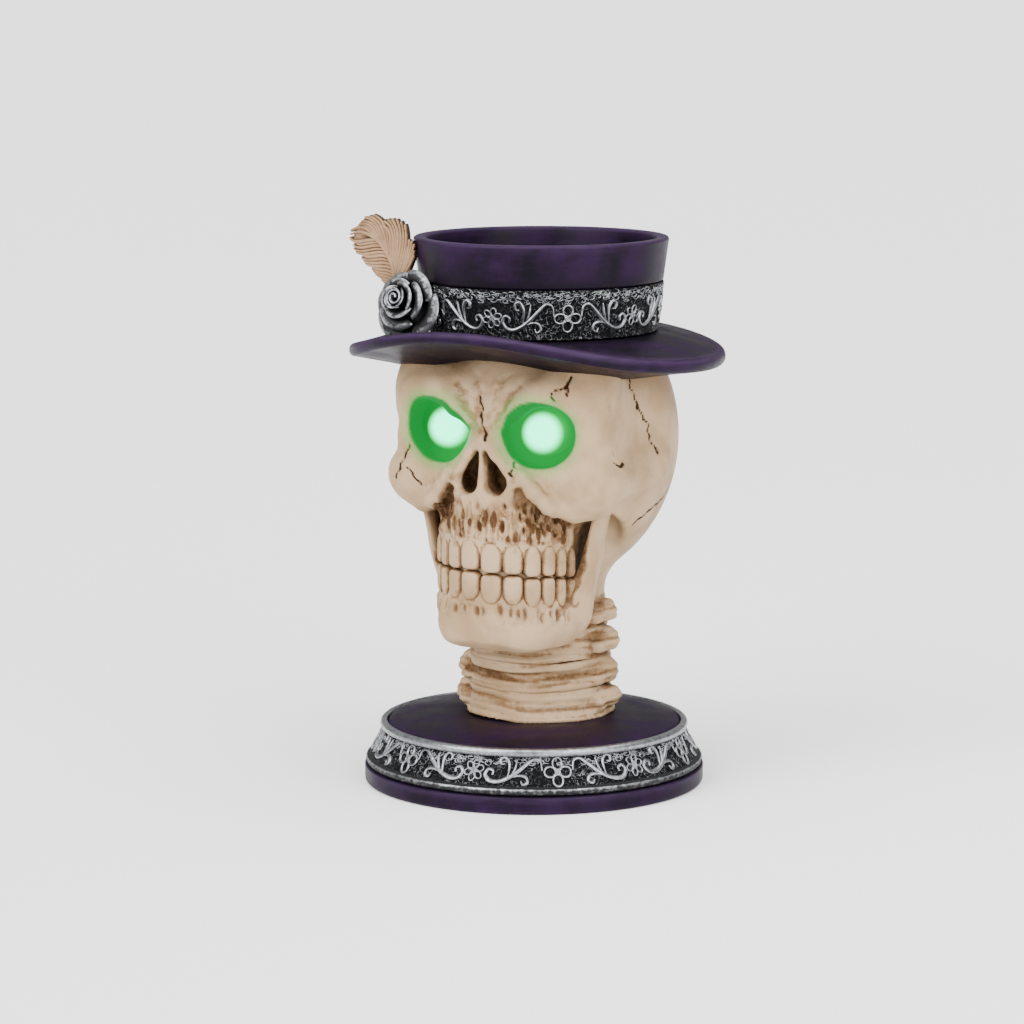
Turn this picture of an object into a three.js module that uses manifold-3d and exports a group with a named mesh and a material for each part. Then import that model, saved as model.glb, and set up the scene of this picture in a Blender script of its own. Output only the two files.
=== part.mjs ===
// Skull in a top hat, on a stack of neck bones and a round base: a lit holder for sweets or a tea light.
// Millimetres, +Z up. The origin is the middle of the underside, and the face looks along -Y.
import * as THREE from "three";
import { mergeVertices } from "three/addons/utils/BufferGeometryUtils.js";
import Module from "manifold-3d";

const wasm = await Module();
wasm.setup();

// Fits
const GLUE_GAP = 0.3;
const SLIP = 0.3;
// How far a cutter passes the face that it opens
const CUT = 1;

// Base
const PLINTH_RADIUS = 50;
const PLINTH_HEIGHT = 5.2;
const PLINTH_EDGE = 0.8;
const FRIEZE_FOOT_RADIUS = 49.6;
const FRIEZE_TOP_RADIUS = 45.3;
const FRIEZE_HEIGHT = 12.4;
const FRIEZE_INNER_RADIUS = 40;
const BEAD_HEIGHT = 2;
const BEAD_BULGE = 0.5;
const RELIEF_DEPTH = 0.9;
const RIM_WIDTH = 2.2;
const DECK_THICKNESS = 3;
const DECK_RISE = 2;
const DECK_FLAT_RADIUS = 27;
const BEAD_STEP = 0.2;
const BASE_SEGMENTS = 32;
const BAY_SEGMENTS = 20;

// Neck
const VERTEBRA_COUNT = 4;
const VERTEBRA_PITCH = 8.6;
const NECK_Y = 3.5;
const NECK_RADIUS = 20.3;
const NECK_WAIST = 1.7;
const CANAL_RADIUS = 6;
const PROCESS_REACH = 24.6;
const PROCESS_RADIUS = 4.4;
const SPINE_REACH = 27;
const NECK_SEGMENTS = 16;
const CANAL_SEGMENTS = 14;

// Skull: heights are above the top of the neck, depths are from the base's axis
const BRAINCASE_WIDTH = 76;
const BRAINCASE_LENGTH = 82;
const BRAINCASE_HEIGHT = 88;
const BRAINCASE_Y = 9;
const BRAINCASE_Z = 46.5;
const SKULL_WALL = 7.5;
const FACE_WIDTH = 67;
const FACE_FRONT = 29.5;
const CHEEK_WIDTH = 73.6;
const CHEEK_BREADTH = 23.6;
const CHEEK_HEIGHT = 19.6;
const CHEEK_Z = 37;
const CHEEK_FRONT = 28.6;
const MUZZLE_FRONT = 35.3;
const NOSE_TOP_Z = 47.9;
const NOSE_FOOT_Z = 34.4;
const NOSE_WIDTH = 16;
const NOSE_DEPTH = 10;
const SEPTUM = 1.6;
const BROW_Z = 63;
const EYE_Z = 51.8;
const EYE_SPREAD = 30;
const ORBIT_WIDTH = 19.8;
const ORBIT_HEIGHT = 19.4;
const ORBIT_DEPTH = 13.5;
const ORBIT_OFFSET = 0.7;
const FACE_CELL = 4;
const BACK_CELL = 15;

// Jaws
const ARCH_HALF_WIDTH = 21.6;
const ARCH_DEPTH = 23.3;
const ARCH_FRONT = 35.9;
const GUM_UPPER_Z = 20.2;
const MOUTH_Z = 12;
const GUM_LOWER_Z = 4.4;
const CHIN_Z = -9.9;
const CHIN_FRONT = 31.8;
const JAW_THICKNESS = 9.2;
const JAW_ANGLE_WIDTH = 48.6;
const RAMUS_TOP_Z = 31;
const RAMUS_FRONT = 18.4;
const RAMUS_BREADTH = 12.6;
const RAMUS_THICKNESS = 5;
const JAW_CELL = 4.4;
const JAW_BACK = 16;
const GRID_MARGIN = 4;
const TOOTH_WIDTHS = [6.8, 6.2, 5.5, 4.9, 4.4, 4.2];
const TOOTH_THICKNESS = 5;
const TOOTH_ROOT = 1.2;
const TOOTH_GAP = 0.4;
const TOOTH_PROUD = 3;

// Hat
const HAT_Y = 4.5;
const SPIGOT_RADIUS = 19.4;
const SPIGOT_WALL = 3;
const SPIGOT_REACH = 7;
const BRIM_TOP_Z = 77.9;
const BRIM_RADIUS = 54.8;
const BRIM_FORWARD = 2.5;
const BRIM_EDGE = 3.3;
const BRIM_SIDE_DROP = 6.1;
const BRIM_FRONT_RISE = 11;
const BRIM_BACK_RISE = 5;
const BRIM_ROOT = 11.9;
const BRIM_ROOT_FRONT_RISE = 6.4;
const BRIM_SEGMENTS = 32;
const CROWN_HEIGHT = 27.1;
const CROWN_FOOT_RADIUS = 32.4;
const CROWN_TOP_RADIUS = 37.3;
const CROWN_WALL = 3.8;
const CUP_FLOOR = 3.6;
const BAND_HEIGHT = 14.2;
const BAND_THICKNESS = 1.5;
const BAND_SINK = 1.2;
const HAT_SEGMENTS = 28;

// Rose and plume on the hat
const ROSE_RADIUS = 10.4;
const ROSE_ANGLE = -43;
const ROSE_Z = 86.3;
const ROSE_OUT = 4.7;
const PLUME_WIDTH = 19.4;
const PLUME_STALK = 1.1;
const PLUME_BEHIND = 6.1;
const PLUME_LEAN = 23.1;
const PLUME_RISE = 20.1;
const PLUME_THICKNESS = 3.4;
const PLUME_LOBES = 9;

// Eyes and lights
const LENS_RADIUS = 6.6;
const LENS_WALL = 1.1;
const LENS_CENTRE = 24.5;
const LENS_BACK = 13;
const LED_RADIUS = 2.5;
const LED_LENGTH = 8.5;
const LED_FLANGE = 1;
const HOLDER_LENGTH = 3.6;
const LEAD_RADIUS = 0.9;
const LEAD_SPACING = 4.4;
const EYE_SEGMENTS = 12;

// Cells, switch and door
const CELL_RADIUS = 10;
const CELL_HEIGHT = 3.2;
const BAY_Y = 22;
const BAY_CLEARANCE = 0.5;
const BOX_WIDTH = 30;
const BOX_LENGTH = 26;
const BOX_ROOF = 1.5;
const SPRING_HEIGHT = 1.3;
const SPRING_SHEET = 0.4;
const SPRING_WIDTH = 4;
const POCKET_DEPTH = 2;
const POCKET_ROOF = 0.5;
const CONTACT_BUMP = 1.6;
const BOX_CORNER = 2;
const DOOR_WIDTH = 30;
const DOOR_FRONT_Y = 4.5;
const DOOR_BACK_Y = 35.5;
const DOOR_THICKNESS = 1.6;
const DOOR_SINK = 0.3;
const TAB_WIDTH = 4;
const TAB_REACH = 1.5;
const TAB_THICKNESS = 0.8;
const TAB_SPREAD = 16;
const TAB_ROOM = 0.7;
const DOOR_CORNER = 1.7;
const SCREW_RADIUS = 1.2;
const SCREW_HEAD_RADIUS = 2.4;
const SCREW_LENGTH = 3.8;
const SCREW_INSET = 3.4;
const SCREW_HEAD_HEIGHT = 0.7;
const SCREW_HEAD_ROOM = 0.1;
const SCREW_ROOM = 0.5;
const SCREW_SLOT = 0.6;
const SWITCH_Y = -22;
const SWITCH_LENGTH = 13;
const SWITCH_WIDTH = 6.4;
const SWITCH_HEIGHT = 5;
const SWITCH_TRAVEL = 3.4;
const SLIDER_LENGTH = 3.6;
const SLIDER_WIDTH = 2.8;
const SLIDER_HEIGHT = 2;
const SLIDER_SINK = 0.7;
const SLIDER_SHOE = 1.2;
const TRACK_HEIGHT = 2.6;
const FINGER_DISH_DEPTH = 2.2;
const FINGER_DISH_MARGIN = 3.5;
const FINGER_DISH_WIDTH = 6.8;
const FINGER_DISH_CORNER = 2;

// Levels and radii that follow
const FRIEZE_FOOT_Z = PLINTH_HEIGHT + GLUE_GAP;
const FRIEZE_TOP_Z = FRIEZE_FOOT_Z + FRIEZE_HEIGHT;
const DECK_RADIUS = FRIEZE_TOP_RADIUS - RIM_WIDTH;
const DECK_UNDER_Z = FRIEZE_TOP_Z - DECK_THICKNESS;
const NECK_FOOT_Z = FRIEZE_TOP_Z + DECK_RISE + GLUE_GAP;
const SKULL_Z = NECK_FOOT_Z + VERTEBRA_COUNT * VERTEBRA_PITCH;
const VERTEBRA_HEIGHT = VERTEBRA_PITCH - GLUE_GAP;
const ARCH_Y = ARCH_DEPTH - ARCH_FRONT;
const CROWN_FOOT_Z = BRIM_TOP_Z + GLUE_GAP;
const CROWN_TOP_Z = CROWN_FOOT_Z + CROWN_HEIGHT;
const BAND_FOOT_Z = CROWN_FOOT_Z + 0.1;
const BAND_TOP_Z = BAND_FOOT_Z + BAND_HEIGHT;
const BAY_RADIUS = CELL_RADIUS + BAY_CLEARANCE;
const DOOR_TOP_Z = DOOR_SINK + DOOR_THICKNESS;
const CELL_FOOT_Z = DOOR_TOP_Z + SLIP;
const CELL_TOP_Z = CELL_FOOT_Z + 2 * CELL_HEIGHT + GLUE_GAP;
const BAY_ROOF_Z = CELL_TOP_Z + SPRING_HEIGHT;
const SCREW_Y = DOOR_FRONT_Y + SCREW_INSET;
const SCREW_HEAD_Z = DOOR_SINK + SCREW_HEAD_ROOM;
const SCREW_TIP_Z = SCREW_HEAD_Z + SCREW_HEAD_HEIGHT + SCREW_LENGTH;

const radians = THREE.MathUtils.degToRad;
const vector = (x, y, z) => new THREE.Vector3(x, y, z);

// Solids

function solid(geometry) {
  const bare = geometry.clone();
  bare.deleteAttribute("normal");
  bare.deleteAttribute("uv");
  const merged = mergeVertices(bare, 1e-4);
  return new wasm.Manifold(new wasm.Mesh({
    numProp: 3,
    vertProperties: new Float32Array(merged.attributes.position.array),
    triVerts: new Uint32Array(merged.index.array),
  }));
}

function geometryOf(body) {
  const mesh = body.getMesh();
  const geometry = new THREE.BufferGeometry();
  geometry.setAttribute("position", new THREE.BufferAttribute(new Float32Array(mesh.vertProperties), 3));
  geometry.setIndex(new THREE.BufferAttribute(new Uint32Array(mesh.triVerts), 1));
  return geometry;
}

function indexed(positions, triangles) {
  const geometry = new THREE.BufferGeometry();
  geometry.setAttribute("position", new THREE.BufferAttribute(new Float32Array(positions), 3));
  geometry.setIndex(triangles);
  return geometry;
}

// Revolve a profile of [radius, height] pairs, given with the solid on its left, about +Z
function revolve(profile, segments, y = 0) {
  const points = profile.map(([radius, height]) => new THREE.Vector2(radius, height));
  return new THREE.LatheGeometry(points, segments).rotateX(Math.PI / 2).translate(0, y, 0);
}

// A ring whose closed profile may change round the axis: profileAt(angle) gives [radius, height] pairs
function variedRing(profileAt, segments, y = 0) {
  const positions = [];
  const triangles = [];
  const count = profileAt(0).length;
  for (let i = 0; i < segments; i += 1) {
    const angle = (2 * Math.PI * i) / segments;
    for (const [radius, height] of profileAt(angle)) {
      positions.push(radius * Math.sin(angle), y - radius * Math.cos(angle), height);
    }
    for (let k = 0; k < count; k += 1) {
      const a = i * count + k;
      const b = i * count + ((k + 1) % count);
      const c = ((i + 1) % segments) * count + k;
      const d = ((i + 1) % segments) * count + ((k + 1) % count);
      triangles.push(a, c, b, b, c, d);
    }
  }
  return indexed(positions, triangles);
}

// Skin a row of closed loops of equal length, and close both ends with a fan
function loft(loops) {
  const positions = [];
  const triangles = [];
  const count = loops[0].length;
  for (const loop of loops) {
    for (const point of loop) {
      positions.push(point.x, point.y, point.z);
    }
  }
  for (let i = 0; i + 1 < loops.length; i += 1) {
    for (let k = 0; k < count; k += 1) {
      const a = i * count + k;
      const b = i * count + ((k + 1) % count);
      triangles.push(a, b, a + count, b, b + count, a + count);
    }
  }
  const last = (loops.length - 1) * count;
  for (let k = 1; k + 1 < count; k += 1) {
    triangles.push(0, k + 1, k, last, last + k, last + k + 1);
  }
  return indexed(positions, triangles);
}

function box(width, length, foot, top, x = 0, y = 0) {
  return new THREE.BoxGeometry(width, length, top - foot).translate(x, y, (foot + top) / 2);
}

function post(radius, foot, top, segments, x = 0, y = 0) {
  const geometry = new THREE.CylinderGeometry(radius, radius, top - foot, segments);
  return geometry.rotateX(Math.PI / 2).translate(x, y, (foot + top) / 2);
}

function roundedPlate(width, front, back, foot, top, corner) {
  const half = width / 2;
  const shape = new THREE.Shape();
  shape.moveTo(-half + corner, front);
  shape.lineTo(half - corner, front);
  shape.absarc(half - corner, front + corner, corner, -Math.PI / 2, 0);
  shape.absarc(half - corner, back - corner, corner, 0, Math.PI / 2);
  shape.absarc(-half + corner, back - corner, corner, Math.PI / 2, Math.PI);
  shape.absarc(-half + corner, front + corner, corner, Math.PI, 1.5 * Math.PI);
  const extrude = { depth: top - foot, bevelEnabled: false, curveSegments: 3 };
  return new THREE.ExtrudeGeometry(shape, extrude).translate(0, 0, foot);
}

function wire(points, steps) {
  const section = new THREE.Shape();
  section.absarc(0, 0, LEAD_RADIUS, 0, 2 * Math.PI);
  const path = new THREE.CatmullRomCurve3(points, false, "centripetal");
  return new THREE.ExtrudeGeometry(section, { steps, extrudePath: path, curveSegments: 4 });
}

// Distance fields: each returns a function of a point that is negative inside

function ellipsoid(cx, cy, cz, rx, ry, rz) {
  return (x, y, z) => {
    const px = (x - cx) / rx;
    const py = (y - cy) / ry;
    const pz = (z - cz) / rz;
    const near = Math.hypot(px, py, pz);
    const slope = Math.hypot(px / rx, py / ry, pz / rz);
    return slope < 1e-9 ? -Math.min(rx, ry, rz) : (near * (near - 1)) / slope;
  };
}

// A rod with round ends, of one radius at each end
function rod(a, b, radiusA, radiusB = radiusA) {
  const dx = b[0] - a[0];
  const dy = b[1] - a[1];
  const dz = b[2] - a[2];
  const length = dx * dx + dy * dy + dz * dz;
  return (x, y, z) => {
    const along = ((x - a[0]) * dx + (y - a[1]) * dy + (z - a[2]) * dz) / length;
    const t = Math.min(1, Math.max(0, along));
    const gap = Math.hypot(x - a[0] - t * dx, y - a[1] - t * dy, z - a[2] - t * dz);
    return gap - radiusA - t * (radiusB - radiusA);
  };
}

// A chain of rods through joints of [x, y, z, radius]
function chain(k, joints) {
  const links = joints.slice(1).map((joint, i) => rod(joints[i], joint, joints[i][3], joint[3]));
  return blend(k, ...links);
}

// An upright column on the plan of the dental arch, set back from its face
function archColumn(setback, foot, top) {
  const halfWidth = ARCH_HALF_WIDTH - setback;
  const depth = ARCH_DEPTH - setback;
  return (x, y, z) => {
    const px = x / halfWidth;
    const py = (y - ARCH_Y) / depth;
    const near = Math.hypot(px, py);
    const slope = Math.hypot(px / halfWidth, py / depth);
    const plan = slope < 1e-9 ? -halfWidth : (near * (near - 1)) / slope;
    return Math.max(plan, foot - z, z - top);
  };
}

function softMin(a, b, k) {
  const h = Math.max(0, k - Math.abs(a - b)) / k;
  return Math.min(a, b) - (h * h * k) / 4;
}

function blend(k, first, ...others) {
  return (x, y, z) => others.reduce((d, field) => softMin(d, field(x, y, z), k), first(x, y, z));
}

function carve(k, first, ...cuts) {
  return (x, y, z) => cuts.reduce((d, cut) => -softMin(-d, cut(x, y, z), k), first(x, y, z));
}

const mirrored = (field) => (x, y, z) => field(Math.abs(x), y, z);
const grown = (field, by) => (x, y, z) => field(x, y, z) - by;

// Grid lines through stops of [place, cell]: the spacing runs evenly from one stop's cell to the next's
function gridLines(stops) {
  const lines = [stops[0][0]];
  for (let i = 1; i < stops.length; i += 1) {
    const [from, fine] = stops[i - 1];
    const [to, coarse] = stops[i];
    while (lines[lines.length - 1] < to) {
      const share = Math.max(0, (lines[lines.length - 1] - from) / (to - from));
      lines.push(lines[lines.length - 1] + fine + (coarse - fine) * share);
    }
  }
  return lines;
}

// Grid lines on both sides of the middle plane
function mirroredLines(stops) {
  const half = gridLines([[stops[0][1] / 2, stops[0][1]], ...stops.slice(1)]);
  return [...half.map((x) => -x).reverse(), ...half];
}

// Skin a field's zero level: a vertex for each sheet that passes through a cell,
// a quad for each crossed grid edge
function polygonise(field, lines) {
  const size = lines.map((axis) => axis.length);
  const stride = [1, size[0], size[0] * size[1]];
  const values = new Float64Array(size[0] * size[1] * size[2]);
  const corner = (i, j, k) => i + j * stride[1] + k * stride[2];
  for (let k = 0; k < size[2]; k += 1) {
    for (let j = 0; j < size[1]; j += 1) {
      for (let i = 0; i < size[0]; i += 1) {
        values[corner(i, j, k)] = field(lines[0][i], lines[1][j], lines[2][k]);
      }
    }
  }
  const positions = [];
  const vertexAt = new Int32Array(12 * values.length).fill(-1);
  for (let k = 0; k + 1 < size[2]; k += 1) {
    for (let j = 0; j + 1 < size[1]; j += 1) {
      for (let i = 0; i + 1 < size[0]; i += 1) {
        placeVertices(values, lines, stride, [i, j, k], positions, vertexAt);
      }
    }
  }
  const triangles = [];
  for (let axis = 0; axis < 3; axis += 1) {
    const u = stride[(axis + 1) % 3];
    const v = stride[(axis + 2) % 3];
    for (let at = u + v; at + stride[axis] < values.length; at += 1) {
      const inside = values[at] < 0;
      if (inside !== values[at + stride[axis]] < 0) {
        const cells = [[at - u - v, 3], [at - v, 2], [at, 0], [at - u, 1]];
        const quad = cells.map(([cell, side]) => vertexAt[12 * cell + 4 * axis + side]);
        pushQuad(triangles, positions, inside ? quad : quad.reverse());
      }
    }
  }
  return indexed(positions, triangles);
}

// The crossed edges of one cell, grouped into sheets by following them over the cell's faces
function placeVertices(values, lines, stride, cell, positions, vertexAt) {
  const at = cell[0] + cell[1] * stride[1] + cell[2] * stride[2];
  const crossings = new Array(12).fill(null);
  for (let axis = 0; axis < 3; axis += 1) {
    const u = (axis + 1) % 3;
    const v = (axis + 2) % 3;
    for (let side = 0; side < 4; side += 1) {
      const du = side & 1;
      const dv = side >> 1;
      const start = at + du * stride[u] + dv * stride[v];
      const a = values[start];
      const b = values[start + stride[axis]];
      if (a < 0 !== b < 0) {
        const low = lines[axis][cell[axis]];
        const high = lines[axis][cell[axis] + 1];
        const point = [0, 0, 0];
        point[axis] = low + ((high - low) * a) / (a - b);
        point[u] = lines[u][cell[u] + du];
        point[v] = lines[v][cell[v] + dv];
        crossings[4 * axis + side] = point;
      }
    }
  }
  const group = crossings.map((point, edge) => edge);
  const join = (a, b) => {
    const [from, to] = [group[a], group[b]];
    group.forEach((value, edge) => {
      group[edge] = value === from ? to : value;
    });
  };
  for (let normal = 0; normal < 3; normal += 1) {
    const p = (normal + 1) % 3;
    const q = (normal + 2) % 3;
    for (let side = 0; side < 2; side += 1) {
      const edges = [4 * p + 2 * side, 4 * q + side, 4 * p + 1 + 2 * side, 4 * q + side + 2];
      const crossed = edges.filter((edge) => crossings[edge]);
      if (crossed.length === 2) {
        join(crossed[0], crossed[1]);
      } else if (crossed.length === 4) {
        const firstInside = values[at + side * stride[normal]] < 0;
        join(edges[0], edges[firstInside ? 1 : 3]);
        join(edges[2], edges[firstInside ? 3 : 1]);
      }
    }
  }
  for (const sheet of new Set(group.filter((value, edge) => crossings[edge]))) {
    const inSheet = (edge) => crossings[edge] && group[edge] === sheet;
    const members = [...crossings.keys()].filter(inSheet);
    members.forEach((edge) => {
      vertexAt[12 * at + edge] = positions.length / 3;
    });
    const mean = (axis) => members.reduce((sum, edge) => sum + crossings[edge][axis], 0) / members.length;
    positions.push(mean(0), mean(1), mean(2));
  }
}

function pushQuad(triangles, positions, [a, b, c, d]) {
  const apart = (p, q) => Math.hypot(
    positions[3 * p] - positions[3 * q],
    positions[3 * p + 1] - positions[3 * q + 1],
    positions[3 * p + 2] - positions[3 * q + 2],
  );
  if (apart(a, c) < apart(b, d)) {
    triangles.push(a, b, c, a, c, d);
  } else {
    triangles.push(a, b, d, b, c, d);
  }
}

// Base

function plinth() {
  const edge = PLINTH_EDGE;
  const plate = solid(revolve([
    [0, 0],
    [PLINTH_RADIUS - edge, 0],
    [PLINTH_RADIUS, edge],
    [PLINTH_RADIUS, PLINTH_HEIGHT - edge],
    [PLINTH_RADIUS - edge, PLINTH_HEIGHT],
    [0, PLINTH_HEIGHT],
  ], BASE_SEGMENTS));
  const top = PLINTH_HEIGHT + CUT;
  const recessTop = DOOR_TOP_Z + SLIP;
  const slotFoot = DOOR_TOP_Z - TAB_THICKNESS - SLIP;
  const dishLength = SLIDER_LENGTH + SWITCH_TRAVEL + 2 * FINGER_DISH_MARGIN;
  const dishFront = SWITCH_Y - FINGER_DISH_WIDTH / 2;
  const dishBack = SWITCH_Y + FINGER_DISH_WIDTH / 2;
  const slotLength = SLIDER_LENGTH + SWITCH_TRAVEL + 2 * SLIP;
  const cuts = [
    roundedPlate(
      DOOR_WIDTH + 2 * SLIP, DOOR_FRONT_Y - SLIP, DOOR_BACK_Y + SLIP, -CUT, recessTop, DOOR_CORNER + SLIP),
    post(BAY_RADIUS, DOOR_SINK, top, BAY_SEGMENTS, 0, BAY_Y),
    post(SCREW_RADIUS + SCREW_ROOM, DOOR_SINK, SCREW_TIP_Z + SCREW_ROOM, 12, 0, SCREW_Y),
    roundedPlate(dishLength, dishFront, dishBack, -CUT, FINGER_DISH_DEPTH, FINGER_DISH_CORNER),
    box(slotLength, SLIDER_WIDTH + 2 * SLIP, DOOR_SINK, top, 0, SWITCH_Y),
  ];
  for (const side of [-1, 1]) {
    const x = (side * TAB_SPREAD) / 2;
    cuts.push(box(TAB_WIDTH + 2 * SLIP, 2 * TAB_REACH + CUT, slotFoot, recessTop + TAB_ROOM, x, DOOR_BACK_Y));
  }
  return geometryOf(cuts.reduce((body, cut) => body.subtract(solid(cut)), plate));
}

function friezeRing() {
  const foot = FRIEZE_FOOT_Z;
  const top = FRIEZE_TOP_Z;
  const seat = DECK_RADIUS + SLIP;
  return revolve([
    [FRIEZE_INNER_RADIUS, foot],
    [FRIEZE_FOOT_RADIUS - BEAD_BULGE, foot],
    [FRIEZE_FOOT_RADIUS, foot + BEAD_HEIGHT / 2],
    [FRIEZE_FOOT_RADIUS - BEAD_BULGE, foot + BEAD_HEIGHT],
    [FRIEZE_FOOT_RADIUS - BEAD_BULGE - RELIEF_DEPTH, foot + BEAD_HEIGHT + BEAD_STEP],
    [FRIEZE_TOP_RADIUS - BEAD_BULGE - RELIEF_DEPTH, top - BEAD_HEIGHT - BEAD_STEP],
    [FRIEZE_TOP_RADIUS - BEAD_BULGE, top - BEAD_HEIGHT],
    [FRIEZE_TOP_RADIUS, top - BEAD_HEIGHT / 2],
    [FRIEZE_TOP_RADIUS - BEAD_BULGE, top],
    [seat, top],
    [seat, DECK_UNDER_Z - GLUE_GAP],
    [FRIEZE_INNER_RADIUS, DECK_UNDER_Z - GLUE_GAP],
    [FRIEZE_INNER_RADIUS, foot],
  ], BASE_SEGMENTS);
}

function deck() {
  const centre = FRIEZE_TOP_Z + DECK_RISE;
  const ring = revolve([
    [CANAL_RADIUS, DECK_UNDER_Z],
    [DECK_RADIUS, DECK_UNDER_Z],
    [DECK_RADIUS, FRIEZE_TOP_Z],
    [(DECK_RADIUS + DECK_FLAT_RADIUS) / 2, FRIEZE_TOP_Z + 0.62 * DECK_RISE],
    [DECK_FLAT_RADIUS, centre],
    [CANAL_RADIUS, centre],
    [CANAL_RADIUS, DECK_UNDER_Z],
  ], BASE_SEGMENTS);
  const hole = post(CANAL_RADIUS, DECK_UNDER_Z - CUT, centre + CUT, CANAL_SEGMENTS, 0, NECK_Y);
  return geometryOf(solid(ring).subtract(solid(hole)));
}

// Neck

function vertebra() {
  const waist = NECK_RADIUS - NECK_WAIST;
  const middle = VERTEBRA_HEIGHT / 2;
  let body = solid(revolve([
    [CANAL_RADIUS, 0],
    [NECK_RADIUS, 0],
    [waist, middle],
    [NECK_RADIUS, VERTEBRA_HEIGHT],
    [CANAL_RADIUS, VERTEBRA_HEIGHT],
    [CANAL_RADIUS, 0],
  ], NECK_SEGMENTS));
  const lump = (width, length, height) => new THREE.SphereGeometry(1, 8, 4)
    .rotateX(Math.PI / 2)
    .rotateZ(Math.PI / 8)
    .scale(width, length, height);
  const knobHeight = 0.44 * VERTEBRA_HEIGHT;
  for (const side of [-1, 1]) {
    const knob = lump(PROCESS_RADIUS, 1.4 * PROCESS_RADIUS, knobHeight);
    knob.translate(side * (PROCESS_REACH - PROCESS_RADIUS), 1, middle);
    body = body.add(solid(knob));
  }
  const spine = lump(PROCESS_RADIUS, SPINE_REACH - NECK_RADIUS + 3, knobHeight);
  spine.translate(0, NECK_RADIUS - 3, middle);
  return geometryOf(body.add(solid(spine)));
}

// Hat

// Bell curve in degrees round the head
const bell = (angle, width) => Math.exp(-((angle / width) ** 2));

// Edge height and root underside of the brim at an angle from the front
function brimLevels(angle) {
  const turn = Math.abs(THREE.MathUtils.radToDeg(Math.atan2(Math.sin(angle), Math.cos(angle))));
  const lift = BRIM_FRONT_RISE * bell(turn, 47) + BRIM_BACK_RISE * bell(180 - turn, 45);
  const rootLift = BRIM_ROOT_FRONT_RISE * bell(turn, 42);
  return { edge: BRIM_TOP_Z - BRIM_SIDE_DROP + lift, root: BRIM_TOP_Z - BRIM_ROOT + rootLift };
}

const BRIM_ROOT_RADIUS = CROWN_FOOT_RADIUS + BAND_THICKNESS + 2.4;
const brimReach = (angle) => BRIM_RADIUS + BRIM_FORWARD * Math.cos(angle);

function brimTop(angle, radius) {
  const out = Math.max(0, (radius - BRIM_ROOT_RADIUS) / (brimReach(angle) - BRIM_ROOT_RADIUS));
  return BRIM_TOP_Z + (brimLevels(angle).edge - BRIM_TOP_Z) * out ** 1.2;
}

function brimUnder(angle, radius) {
  const { edge, root } = brimLevels(angle);
  const out = Math.max(0, (radius - BRIM_ROOT_RADIUS) / (brimReach(angle) - BRIM_ROOT_RADIUS));
  return root + (edge - BRIM_EDGE - root) * out ** 0.9;
}

function hatBrim() {
  const hole = SPIGOT_RADIUS + SLIP;
  const profileAt = (angle) => {
    const reach = brimReach(angle);
    const steps = [0, 0.3, 0.65].map((share) => BRIM_ROOT_RADIUS + share * (reach - BRIM_ROOT_RADIUS));
    const under = steps.map((radius) => [radius, brimUnder(angle, radius)]);
    const over = steps.map((radius) => [radius, brimTop(angle, radius)]);
    const tip = reach - 0.4 * BRIM_EDGE;
    return [
      [hole, brimUnder(angle, hole)],
      ...under,
      [tip, brimUnder(angle, tip)],
      [reach, brimLevels(angle).edge - BRIM_EDGE / 2],
      [tip, brimTop(angle, tip)],
      ...over.reverse(),
      [hole, BRIM_TOP_Z],
    ];
  };
  return variedRing(profileAt, BRIM_SEGMENTS, HAT_Y);
}

// Everything above the underside of the brim, with the glue gap: it trims the top of the skull
function brimTrim() {
  const profileAt = (angle) => {
    const reach = brimReach(angle);
    const foot = (radius) => brimUnder(angle, radius) - GLUE_GAP;
    const hole = SPIGOT_RADIUS + SLIP;
    const outer = BRIM_ROOT_RADIUS + 0.65 * (reach - BRIM_ROOT_RADIUS);
    const middle = BRIM_ROOT_RADIUS + 0.3 * (reach - BRIM_ROOT_RADIUS);
    return [
      [hole - 1, foot(hole)],
      [BRIM_ROOT_RADIUS, foot(BRIM_ROOT_RADIUS)],
      [middle, foot(middle)],
      [outer, foot(outer)],
      [outer, BRIM_TOP_Z + BRAINCASE_HEIGHT / 2],
      [hole - 1, BRIM_TOP_Z + BRAINCASE_HEIGHT / 2],
    ];
  };
  const top = BRIM_TOP_Z + BRAINCASE_HEIGHT / 2;
  const opening = post(SPIGOT_RADIUS + SLIP, BRAINCASE_Z, top, HAT_SEGMENTS, 0, HAT_Y);
  return solid(variedRing(profileAt, BRIM_SEGMENTS, HAT_Y)).add(solid(opening));
}

// Radius of the crown's outer wall, and of the shallow seat for the band
const crownRadius = (z) => CROWN_FOOT_RADIUS + BAND_SINK
  + ((CROWN_TOP_RADIUS - CROWN_FOOT_RADIUS - BAND_SINK) * (z - CROWN_FOOT_Z)) / CROWN_HEIGHT;
const seatRadius = (z) => crownRadius(z) - BAND_SINK;

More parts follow.
